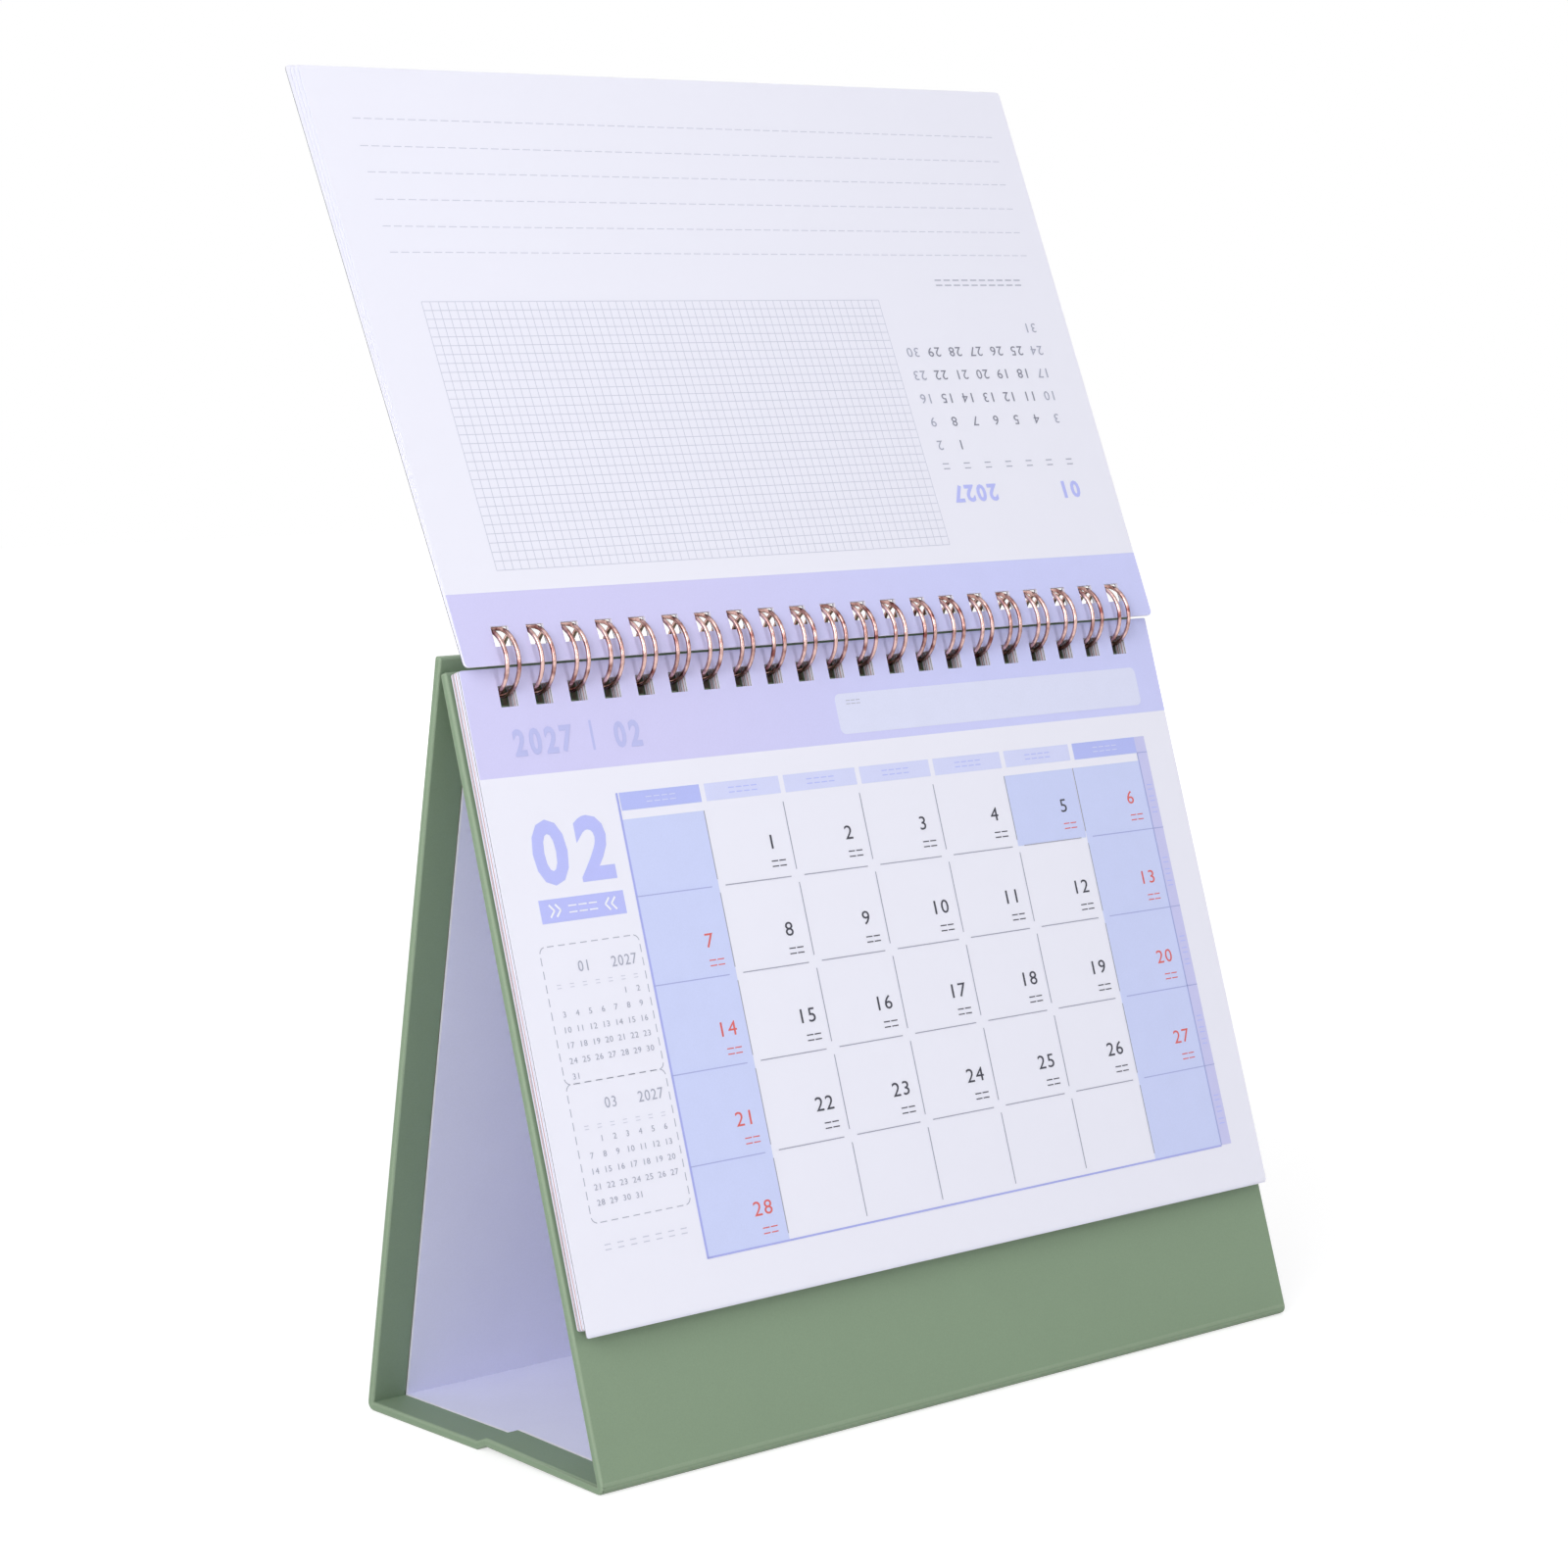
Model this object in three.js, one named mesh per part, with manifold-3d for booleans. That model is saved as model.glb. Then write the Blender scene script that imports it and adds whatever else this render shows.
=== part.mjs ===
// Desk calendar: a folded board easel with two stacks of leaves on a twin-loop binding wire.
// Millimetres, +Z up, +X to the reader's right, -Y towards the reader.
// The origin is the centre of the base's underside.
import * as THREE from 'three';
import { mergeGeometries, mergeVertices } from 'three/addons/utils/BufferGeometryUtils.js';
import Module from 'manifold-3d';

const wasm = await Module();
wasm.setup();

// Leaf width, which the stand and the row of loops follow
const leafWidth = 190;
const standOverhang = 1;
const leafEndMargin = 10;

// Stand
const standWidth = leafWidth + 2 * standOverhang;
const frontSlant = 159;
const baseDepth = 78;
const frontLean = THREE.MathUtils.degToRad(17);
const backRise = 3;
const ridgeGap = 0.3;
const boardThickness = 1.2;
const coverThickness = 0.2;
const linerThickness = 0.2;
const glueGap = 0.1;
const foldRadius = 1.6;
const foldSegments = 4;
const hingeGap = 3;
const creaseGap = 3;
const sideTurnIn = 9;
const topTurnIn = 12;
const linerMargin = 0.3;

// Binding wire, with three loops to the inch
const loopPitch = 25.4 / 3;
const loopCount = Math.floor((leafWidth - 2 * leafEndMargin) / loopPitch) + 1;
const wireDiameter = 0.9;
const ringRadius = 6.6;
const legSpacing = 2.9;
const ringAhead = 0.5;
const ringAbove = 1;
const baseBendDepth = 1.3;
const seamClearance = 0.15;
const seamOverlap = 2.7;
const wireSides = 6;
const legSteps = 12;
const tipSteps = 3;
const baseSteps = 3;

// Leaves
const leafHeight = 128;
const leafCornerRadius = 2;
const leafCornerSegments = 3;
const holeSize = 4.2;
const holeMargin = 3.2;
const holeClearance = 0.3;
const frontStackThickness = 3;
const frontLeafGroups = 5;
const frontStackGap = 0.3;
const raisedStackThickness = 0.6;
const raisedLeafGroups = 3;
const raisedLean = THREE.MathUtils.degToRad(23.7);
const raisedStandOff = 5;
const leafScatter = 0.4;
const scatterTurn = 2.4;
const groupOverlap = 0.02;

// Sizes that follow from the ones above
const caseThickness = 2 * coverThickness + 2 * glueGap + boardThickness;
const boardDepth = coverThickness + glueGap;
const wireRadius = wireDiameter / 2;
const cutReach = 1;

// Side views are drawn in (y, z)
const side = (y, z) => new THREE.Vector2(y, z);

// A panel runs from its start along a direction, and its depth is counted inwards from its outer face
function panel(start, along, inward) {
  return {
    start,
    along,
    inward,
    at: (distance, depth) => start.clone().addScaledVector(along, distance).addScaledVector(inward, depth),
  };
}

function leaningPanel(start, lean) {
  return panel(start, side(Math.sin(lean), Math.cos(lean)), side(Math.cos(lean), -Math.sin(lean)));
}

const frontFold = side(-baseDepth / 2, 0);
const rearFold = side(baseDepth / 2, 0);
const frontPanel = leaningPanel(frontFold, frontLean);
const basePanel = panel(frontFold, side(1, 0), side(0, 1));

// The back panel leans forward until its inner face meets the front panel's rear top corner
const frontTopRear = frontPanel.at(frontSlant, caseThickness);
const reach = rearFold.clone().sub(frontTopRear);
const backLean = Math.acos((caseThickness + ridgeGap) / reach.length()) - Math.atan2(-reach.y, reach.x);
const backPanel = panel(
  rearFold,
  side(-Math.sin(backLean), Math.cos(backLean)),
  side(-Math.cos(backLean), -Math.sin(backLean)),
);
const backSlant = (frontPanel.at(frontSlant, 0).y + backRise) / Math.cos(backLean);

// The ring of the binding wire, and where it crosses a panel between two depths
const ringCentre = frontPanel.at(frontSlant + ringAbove, -ringAhead);

function ringCrossing(sheet, depthLow, depthHigh) {
  const fromStart = ringCentre.clone().sub(sheet.start);
  const axisAlong = fromStart.dot(sheet.along);
  const axisDepth = fromStart.dot(sheet.inward);
  const low = depthLow - axisDepth;
  const high = depthHigh - axisDepth;
  const nearest = low * high < 0 ? 0 : Math.min(Math.abs(low), Math.abs(high));
  const farthest = Math.max(Math.abs(low), Math.abs(high));
  return {
    axisAlong,
    innerDrop: Math.sqrt((ringRadius - wireRadius) ** 2 - farthest ** 2),
    outerDrop: Math.sqrt((ringRadius + wireRadius) ** 2 - nearest ** 2),
  };
}

// Solids
function solidOf(geometry) {
  const bare = geometry.index ? geometry.toNonIndexed() : geometry.clone();
  bare.deleteAttribute('normal');
  bare.deleteAttribute('uv');
  const merged = mergeVertices(bare, 1e-5);
  return new wasm.Manifold(new wasm.Mesh({
    numProp: 3,
    vertProperties: new Float32Array(merged.attributes.position.array),
    triVerts: new Uint32Array(merged.index.array),
  }));
}

function geometryOf(solid) {
  const mesh = solid.getMesh();
  const geometry = new THREE.BufferGeometry();
  geometry.setAttribute('position', new THREE.BufferAttribute(new Float32Array(mesh.vertProperties), 3));
  geometry.setIndex(new THREE.BufferAttribute(new Uint32Array(mesh.triVerts), 1));
  geometry.computeVertexNormals();
  return geometry;
}

// A side-view outline drawn out along X, centred on the stand
function prism(outline, width) {
  const geometry = new THREE.ExtrudeGeometry(new THREE.Shape(outline), { depth: width, bevelEnabled: false });
  const axes = new THREE.Matrix4().makeBasis(
    new THREE.Vector3(0, 1, 0),
    new THREE.Vector3(0, 0, 1),
    new THREE.Vector3(1, 0, 0),
  );
  geometry.translate(0, 0, -width / 2);
  return geometry.applyMatrix4(axes);
}

// Stand: the points of one sheet line round a fold, at a depth inside the outer face
function foldPoints(corner, before, after, depth) {
  const bisector = before.clone().add(after).normalize();
  const halfAngle = Math.acos(THREE.MathUtils.clamp(before.dot(bisector), -1, 1));
  if (depth >= foldRadius) {
    return [corner.clone().addScaledVector(bisector, depth / Math.sin(halfAngle))];
  }
  const centre = corner.clone().addScaledVector(bisector, foldRadius / Math.sin(halfAngle));
  const sweep = Math.PI - 2 * halfAngle;
  const middle = bisector.clone().negate().angle();
  const points = [];
  for (let step = 0; step <= foldSegments; step += 1) {
    const angle = middle + sweep * (step / foldSegments - 0.5);
    points.push(centre.clone().add(side(Math.cos(angle), Math.sin(angle)).multiplyScalar(foldRadius - depth)));
  }
  return points;
}

// One sheet line runs down the front panel, under the base and up the back panel
function sheetLine(depth, topInset) {
  const towardsFront = basePanel.along.clone().negate();
  return [
    frontPanel.at(frontSlant - topInset, depth),
    ...foldPoints(frontFold, frontPanel.along, basePanel.along, depth),
    ...foldPoints(rearFold, towardsFront, backPanel.along, depth),
    backPanel.at(backSlant - topInset, depth),
  ];
}

function layer(depthLow, depthHigh, topInset, width) {
  const outline = [...sheetLine(depthLow, topInset), ...sheetLine(depthHigh, topInset).reverse()];
  return prism(outline, width);
}

function board(sheet, from, to) {
  const outline = [
    sheet.at(from, boardDepth),
    sheet.at(to, boardDepth),
    sheet.at(to, boardDepth + boardThickness),
    sheet.at(from, boardDepth + boardThickness),
  ];
  return prism(outline, standWidth - 2 * boardDepth);
}

// Square holes, one for each loop, through a sheet from one depth to another
function holeRow(sheet, centreAlong, depthLow, depthHigh) {
  const holes = [];
  for (let loop = 0; loop < loopCount; loop += 1) {
    const outline = [
      sheet.at(centreAlong - holeSize / 2, depthLow),
      sheet.at(centreAlong + holeSize / 2, depthLow),
      sheet.at(centreAlong + holeSize / 2, depthHigh),
      sheet.at(centreAlong - holeSize / 2, depthHigh),
    ];
    holes.push(prism(outline, holeSize).translate(loopPlace(loop), 0, 0));
  }
  return solidOf(mergeGeometries(holes));
}

function loopPlace(loop) {
  return (loop - (loopCount - 1) / 2) * loopPitch;
}

function caseHoles(sheet) {
  const crossing = ringCrossing(sheet, 0, caseThickness);
  const centreAlong = crossing.axisAlong - (crossing.innerDrop + crossing.outerDrop) / 2;
  return holeRow(sheet, centreAlong, -cutReach, caseThickness + cutReach);
}

const frontCaseHoles = caseHoles(frontPanel);
const backCaseHoles = caseHoles(backPanel);

function coverWrap() {
  const pocketDepth = caseThickness - coverThickness;
  const wrapped = solidOf(layer(0, caseThickness, 0, standWidth));
  const pocket = solidOf(layer(coverThickness, pocketDepth, coverThickness, standWidth - 2 * coverThickness));
  const window = solidOf(
    layer(pocketDepth - glueGap, caseThickness + cutReach, topTurnIn, standWidth - 2 * sideTurnIn),
  );
  const sheet = wrapped.subtract(pocket).subtract(window);
  return geometryOf(sheet.subtract(frontCaseHoles).subtract(backCaseHoles));
}

function liner() {
  const depth = caseThickness - coverThickness;
  const width = standWidth - 2 * (sideTurnIn + linerMargin);
  return layer(depth, depth + linerThickness, topTurnIn + linerMargin, width);
}

function frontBoard() {
  const solid = solidOf(board(frontPanel, hingeGap, frontSlant - boardDepth));
  return geometryOf(solid.subtract(frontCaseHoles));
}

function backBoard() {
  const solid = solidOf(board(backPanel, hingeGap, backSlant - boardDepth));
  return geometryOf(solid.subtract(backCaseHoles));
}

// Leaves: one group of leaves with rounded corners, lying in a sheet's plane
function leafGroup(sheet, nearAlong, outerDepth, thickness, shiftX, shiftAlong) {
  const half = leafWidth / 2;
  const r = leafCornerRadius;
  const outline = new THREE.Shape();
  outline.moveTo(-half + r, 0);
  outline.lineTo(half - r, 0);
  outline.absarc(half - r, r, r, -Math.PI / 2, 0);
  outline.lineTo(half, leafHeight - r);
  outline.absarc(half - r, leafHeight - r, r, 0, Math.PI / 2);
  outline.lineTo(-half + r, leafHeight);
  outline.absarc(-half + r, leafHeight - r, r, Math.PI / 2, Math.PI);
  outline.lineTo(-half, r);
  outline.absarc(-half + r, r, r, Math.PI, 1.5 * Math.PI);
  const geometry = new THREE.ExtrudeGeometry(outline, {
    depth: thickness,
    bevelEnabled: false,
    curveSegments: leafCornerSegments,
  });
  const place = sheet.at(nearAlong + shiftAlong, outerDepth + thickness);
  const axes = new THREE.Matrix4().makeBasis(
    new THREE.Vector3(1, 0, 0),
    new THREE.Vector3(0, sheet.along.x, sheet.along.y),
    new THREE.Vector3(0, -sheet.inward.x, -sheet.inward.y),
  );
  return geometry.applyMatrix4(axes.setPosition(shiftX, place.x, place.y));
}

// A stack is a few groups of leaves that don't lie quite square, joined into one block
function leafStack(sheet, nearAlong, outerDepth, thickness, groups, holeAlong) {
  const groupThickness = thickness / groups;
  let stack = null;
  for (let group = 0; group < groups; group += 1) {
    const shiftX = leafScatter * Math.sin(scatterTurn * group);
    const shiftAlong = leafScatter * Math.sin(scatterTurn * (group + 1)) / 2;
    const depth = outerDepth + group * groupThickness;
    const overlap = group < groups - 1 ? groupOverlap : 0;
    const solid = solidOf(leafGroup(sheet, nearAlong, depth, groupThickness + overlap, shiftX, shiftAlong));
    stack = stack ? stack.add(solid) : solid;
  }
  const holes = holeRow(sheet, holeAlong, outerDepth - cutReach, outerDepth + thickness + cutReach);
  return geometryOf(stack.subtract(holes));
}

// The front leaves hang with the top edge of their holes just above the wire
function frontLeaves() {
  const outerDepth = -frontStackGap - frontStackThickness;
  const crossing = ringCrossing(frontPanel, outerDepth, -frontStackGap);
  const holeTop = crossing.axisAlong - crossing.innerDrop + holeClearance;
  const leafTop = holeTop + holeMargin;
  return leafStack(
    frontPanel,
    leafTop - leafHeight,
    outerDepth,
    frontStackThickness,
    frontLeafGroups,
    holeTop - holeSize / 2,
  );
}

// The raised leaves stand ahead of the ring's axis, pushed up until the wire meets their holes' far edge
function raisedLeaves() {
  const foot = ringCentre.clone().add(side(-Math.cos(raisedLean), Math.sin(raisedLean)).multiplyScalar(raisedStandOff));
  const sheet = leaningPanel(foot, raisedLean);
  const farEdge = Math.sqrt(
    (ringRadius + wireRadius) ** 2 - (raisedStandOff - raisedStackThickness) ** 2,
  ) + holeClearance;
  return leafStack(
    sheet,
    farEdge - holeSize - holeMargin,
    0,
    raisedStackThickness,
    raisedLeafGroups,
    farEdge - holeSize / 2,
  );
}

// Binding wire: one wire that runs out and back round every loop.
// It is laid out flat as (x, distance round the ring), then rolled onto the ring.
const legLength = 2 * Math.PI * ringRadius - seamOverlap;
const stepsPerLoop = 2 * legSteps + tipSteps + baseSteps;
const wireSteps = loopCount * stepsPerLoop - baseSteps;

class BindingPath extends THREE.Curve {
  constructor() {
    super();
    const depth = caseThickness + ringAhead;
    const downFront = Math.atan2(-frontPanel.along.y, -frontPanel.along.x);
    this.seamAngle = downFront + Math.asin(depth / ringRadius) + seamClearance / ringRadius;
  }

  // Equal parameter steps fall on the ends of legs and bends, so bends get short steps
  getUtoTmapping(u) {
    return u;
  }

  flatPoint(step) {
    const loop = Math.min(Math.floor(step / stepsPerLoop), loopCount - 1);
    const x = loopPlace(loop);
    const half = legSpacing / 2;
    let local = step - loop * stepsPerLoop;
    if (local <= legSteps) {
      return [x - half, (legLength * local) / legSteps];
    }
    local -= legSteps;
    if (local <= tipSteps) {
      const angle = (Math.PI * local) / tipSteps;
      return [x - half * Math.cos(angle), legLength + half * Math.sin(angle)];
    }
    local -= tipSteps;
    if (local <= legSteps) {
      return [x + half, legLength * (1 - local / legSteps)];
    }
    local -= legSteps;
    const angle = (Math.PI * local) / baseSteps;
    const span = (loopPitch - legSpacing) / 2;
    return [x + half + span * (1 - Math.cos(angle)), -baseBendDepth * Math.sin(angle)];
  }

  getPoint(t, target = new THREE.Vector3()) {
    const [x, distance] = this.flatPoint(THREE.MathUtils.clamp(t, 0, 1) * wireSteps);
    const angle = this.seamAngle - distance / ringRadius;
    return target.set(
      x,
      ringCentre.x + ringRadius * Math.cos(angle),
      ringCentre.y + ringRadius * Math.sin(angle),
    );
  }
}

function bindingWire() {
  const section = new THREE.Shape();
  for (let corner = 0; corner < wireSides; corner += 1) {
    const angle = (2 * Math.PI * corner) / wireSides;
    section[corner ? 'lineTo' : 'moveTo'](wireRadius * Math.cos(angle), wireRadius * Math.sin(angle));
  }
  return new THREE.ExtrudeGeometry(section, {
    steps: wireSteps,
    bevelEnabled: false,
    extrudePath: new BindingPath(),
  });
}

// Materials
function material(colour, roughness, metalness) {
  return new THREE.MeshStandardMaterial({ color: colour, roughness, metalness });
}

const coverPaper = material(0x82967e, 0.6, 0);
const greyBoard = material(0xa59c8c, 0.9, 0);
const linerPaper = material(0xbdc0e3, 0.8, 0);
const leafPaper = material(0xececf8, 0.85, 0);
const copperWire = material(0xc98b76, 0.25, 1);

const calendar = new THREE.Group();

function addPiece(name, geometry, finish) {
  const piece = new THREE.Mesh(geometry, finish);
  piece.name = name;
  calendar.add(piece);
}

const baseMiddle = baseDepth / 2;
addPiece('cover_wrap', coverWrap(), coverPaper);
addPiece('front_board', frontBoard(), greyBoard);
addPiece('back_board', backBoard(), greyBoard);
addPiece('base_front_board', board(basePanel, hingeGap, baseMiddle - creaseGap / 2), greyBoard);
addPiece('base_rear_board', board(basePanel, baseMiddle + creaseGap / 2, baseDepth - hingeGap), greyBoard);
addPiece('liner', liner(), linerPaper);
addPiece('binding_wire', bindingWire(), copperWire);
addPiece('front_leaves', frontLeaves(), leafPaper);
addPiece('raised_leaves', raisedLeaves(), leafPaper);

export default calendar;
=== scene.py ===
"""Desk calendar: the looks of a folded board stand with two stacks of month leaves on a binding wire.

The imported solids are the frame. The cover, the liner, the wire and the leaves are modelled here with their
rounded rims, round wire, single sheets and print, and the boards inside the cover keep their solids.
Flat work is drawn with one unit to the millimetre, and its place on a panel then brings it to metres.
"""

from __future__ import annotations

import logging
import math
import random
from collections.abc import Callable
from dataclasses import dataclass, field
from enum import Enum

import bmesh
import bpy
from mathutils import Matrix, Quaternion, Vector

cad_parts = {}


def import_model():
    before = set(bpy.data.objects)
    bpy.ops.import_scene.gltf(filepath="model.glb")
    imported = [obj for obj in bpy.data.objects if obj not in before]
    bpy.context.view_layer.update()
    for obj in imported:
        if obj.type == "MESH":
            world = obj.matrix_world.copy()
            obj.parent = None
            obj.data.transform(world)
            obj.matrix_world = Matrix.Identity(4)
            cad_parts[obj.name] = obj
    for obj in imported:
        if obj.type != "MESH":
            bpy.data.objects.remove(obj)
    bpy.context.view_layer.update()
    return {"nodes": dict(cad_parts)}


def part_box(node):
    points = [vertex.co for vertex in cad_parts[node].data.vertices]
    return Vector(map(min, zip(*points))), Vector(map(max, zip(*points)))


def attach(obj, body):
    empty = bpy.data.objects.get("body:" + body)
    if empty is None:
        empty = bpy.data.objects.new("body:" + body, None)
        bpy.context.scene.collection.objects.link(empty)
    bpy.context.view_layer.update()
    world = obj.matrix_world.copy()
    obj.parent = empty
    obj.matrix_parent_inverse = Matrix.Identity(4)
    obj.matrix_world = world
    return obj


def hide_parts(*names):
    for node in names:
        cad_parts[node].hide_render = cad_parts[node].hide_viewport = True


Piece = bpy.types.Object
Socket = bpy.types.NodeSocket
Span = tuple[float, float]
Point = tuple[float, float, float]
Colour = tuple[float, float, float, float]

MM = 0.001
STAND_BODY = "stand"
TURNED_BODY = "turned_leaves"
CORNER_STEPS = 4
WEEK = 7

log = logging.getLogger("desk_calendar")


class Part(Enum):
    """What a selection in edit mode is made of."""

    VERTICES = "VERT"
    EDGES = "EDGE"


class BoundEdge(Enum):
    """The edge of a leaf that the wire holds, as a share of the leaf's height."""

    TOP = 1.0
    BOTTOM = 0.0


# Modelling helpers


def around(middle: float, width: float) -> Span:
    """The span of a width about its middle."""
    return middle - width / 2, middle + width / 2


def make_active(obj: Piece) -> None:
    """Select one object alone and make it the active one."""
    bpy.ops.object.select_all(action="DESELECT")
    obj.select_set(True)
    bpy.context.view_layer.objects.active = obj


def named(obj: Piece, name: str) -> Piece:
    """Give an object and its mesh a name."""
    obj.name = name
    obj.data.name = name
    return obj


def apply_place(obj: Piece) -> None:
    """Move an object's place, turn and scale into its mesh."""
    make_active(obj)
    bpy.ops.object.transform_apply(location=True, rotation=True, scale=True)


def edit(obj: Piece) -> None:
    """Enter edit mode on one object, with all of its mesh selected."""
    make_active(obj)
    bpy.ops.object.mode_set(mode="EDIT")
    bpy.ops.mesh.select_all(action="SELECT")


def leave_edit() -> None:
    """Go back to object mode."""
    bpy.ops.object.mode_set(mode="OBJECT")


def face_outward() -> None:
    """Turn all faces outward, in edit mode."""
    bpy.ops.mesh.select_all(action="SELECT")
    bpy.ops.mesh.normals_make_consistent(inside=False)


def select_where(obj: Piece, part: Part, test: Callable[..., bool]) -> None:
    """Select the vertices or edges that pass a test, in edit mode.

    Args:
        obj: The object in edit mode.
        part: What is selected.
        test: Takes a vertex or an edge and says whether it is selected.
    """
    bpy.ops.mesh.select_mode(type=part.value)
    bpy.ops.mesh.select_all(action="DESELECT")
    shape = bmesh.from_edit_mesh(obj.data)
    for item in shape.verts if part is Part.VERTICES else shape.edges:
        if test(item):
            item.select_set(True)
    bmesh.update_edit_mesh(obj.data)


def cut_across(obj: Piece, axis: Point, places: tuple[float, ...], unit: float = 1.0) -> None:
    """Cut a piece's faces by planes that are square to one axis.

    Args:
        obj: The piece.
        axis: The axis, of length one.
        places: Where along the axis each plane stands.
        unit: The unit of those places.
    """
    for place in places:
        edit(obj)
        bpy.ops.mesh.bisect(plane_co=Vector(axis) * (place * unit), plane_no=axis)
        leave_edit()


def apply_modifier(obj: Piece, kind: str, **settings: object) -> None:
    """Add a modifier with its settings and apply it.

    Args:
        obj: The object that takes it.
        kind: The modifier's type.
        **settings: The modifier's own settings.
    """
    modifier = obj.modifiers.new(kind.lower(), kind)
    for name, value in settings.items():
        setattr(modifier, name, value)
    make_active(obj)
    bpy.ops.object.modifier_apply(modifier=modifier.name)


def stamped(shape: bpy.types.Mesh, name: str, place: Matrix) -> Piece:
    """Copy a modelled shape to a place, with a mesh of its own.

    Args:
        shape: The shape, which is left as it is.
        name: The copy's name.
        place: Where the copy goes.

    Returns:
        The copy.
    """
    obj = bpy.data.objects.new(name, shape.copy())
    obj.data.transform(place)
    bpy.context.scene.collection.objects.link(obj)
    return obj


def joined(objects: list[Piece], name: str) -> Piece:
    """Join several objects into one piece with a name."""
    make_active(objects[0])
    for obj in objects:
        obj.select_set(True)
    if len(objects) > 1:
        bpy.ops.object.join()
    return named(bpy.context.view_layer.objects.active, name)


def row_of(first: Piece, places: list[float], name: str) -> Piece:
    """Copy an object to each place across, and join the copies.

    Args:
        first: The object, which the row takes the place of.
        places: Where each copy's middle lies across.
        name: The row's name.

    Returns:
        The row as one object.
    """
    row = [stamped(first.data, name, Matrix.Translation((x, 0.0, 0.0))) for x in places]
    bpy.data.objects.remove(first)
    return joined(row, name)


def sheet(x: Span, y: Span, z: Span, cell: float, radius: float, cuts: tuple[float, ...] = ()) -> Piece:
    """A thin flat sheet with rounded corners, in cells so that it can bend.

    Args:
        x: Its left and right sides.
        y: Its lower and upper sides.
        z: The heights of its two faces.
        cell: The size of a cell.
        radius: The radius of its corners.
        cuts: The heights at which its faces are cut across.

    Returns:
        The sheet.
    """
    width, height = x[1] - x[0], y[1] - y[0]
    bpy.ops.object.select_all(action="DESELECT")
    bpy.ops.mesh.primitive_grid_add(
        x_subdivisions=max(1, round(width / cell)),
        y_subdivisions=max(1, round(height / cell)),
        size=1.0,
        location=((x[0] + x[1]) / 2, (y[0] + y[1]) / 2, z[0]),
    )
    obj = bpy.context.object
    obj.scale = (width, height, 1.0)
    apply_place(obj)
    if radius:
        edit(obj)
        select_where(obj, Part.VERTICES, lambda vertex: len(vertex.link_edges) == 2)
        bpy.ops.mesh.bevel(offset=radius, segments=CORNER_STEPS, affect="VERTICES")
        leave_edit()
    cut_across(obj, (0.0, 1.0, 0.0), cuts)
    edit(obj)
    bpy.ops.mesh.extrude_region_move(TRANSFORM_OT_translate={"value": (0.0, 0.0, z[1] - z[0])})
    face_outward()
    leave_edit()
    return obj


def finished(obj: Piece, body: str, slot: str, *nodes: str) -> None:
    """Let a piece ride on its body and stand for its solids.

    Args:
        obj: The piece.
        body: The body that it moves with.
        slot: The name of a material slot, which is not used.
        *nodes: The solids that it replaces.
    """
    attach(obj, body)
    if nodes:
        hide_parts(*nodes)
    log.info("%s: %d faces on %s", obj.name, len(obj.data.polygons), body)


# Finishes


def linear(hex_colour: str) -> Colour:
    """Turn an sRGB hex colour into linear RGBA."""
    channels = [int(hex_colour[at : at + 2], 16) / 255 for at in (1, 3, 5)]
    curve = [c / 12.92 if c <= 0.04045 else ((c + 0.055) / 1.055) ** 2.4 for c in channels]
    return (*curve, 1.0)


def shaded(colour: Colour, share: float) -> Colour:
    """Scale a linear colour's brightness by a share."""
    return (*(min(1.0, channel * share) for channel in colour[:3]), 1.0)


def scale_of(millimetres: float) -> float:
    """The texture scale that gives a pattern this size on Object coordinates."""
    return 1.0 / (millimetres * MM)


MIX_FACTOR = 0
MIX_A = 6
MIX_B = 7
MIX_COLOUR = 2


class NodeBench:
    """The node tree of a material or a world, while it is being built."""

    def __init__(self, owner: bpy.types.Material | bpy.types.World) -> None:
        """Empty the tree of a new material or world."""
        owner.use_nodes = True
        self.owner = owner
        self.tree = owner.node_tree
        self.tree.nodes.clear()

    def add_node(
        self,
        kind: str,
        settings: dict[str | int, object] | None = None,
        links: dict[str | int, Socket] | None = None,
        output: str | int = 0,
    ) -> Socket:
        """Add a node with its settings and links.

        Args:
            kind: The node's type.
            settings: Its attributes, and the values of its inputs by name or number.
            links: The output that each of its inputs is linked to, by name or number.
            output: The output that is wanted, by name or number.

        Returns:
            The wanted output.
        """
        node = self.tree.nodes.new(kind)
        for name, value in (settings or {}).items():
            if isinstance(name, str) and hasattr(node, name):
                setattr(node, name, value)
            else:
                node.inputs[name].default_value = value
        for name, socket in (links or {}).items():
            self.tree.links.new(socket, node.inputs[name])
        return node.outputs[output]

    def close(self, kind: str, shader: Socket) -> bpy.types.Material | bpy.types.World:
        """Link the last shader to an output node of a type, and return the tree's owner."""
        end = self.tree.nodes.new(kind)
        self.tree.links.new(shader, end.inputs[0])
        return self.owner


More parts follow.
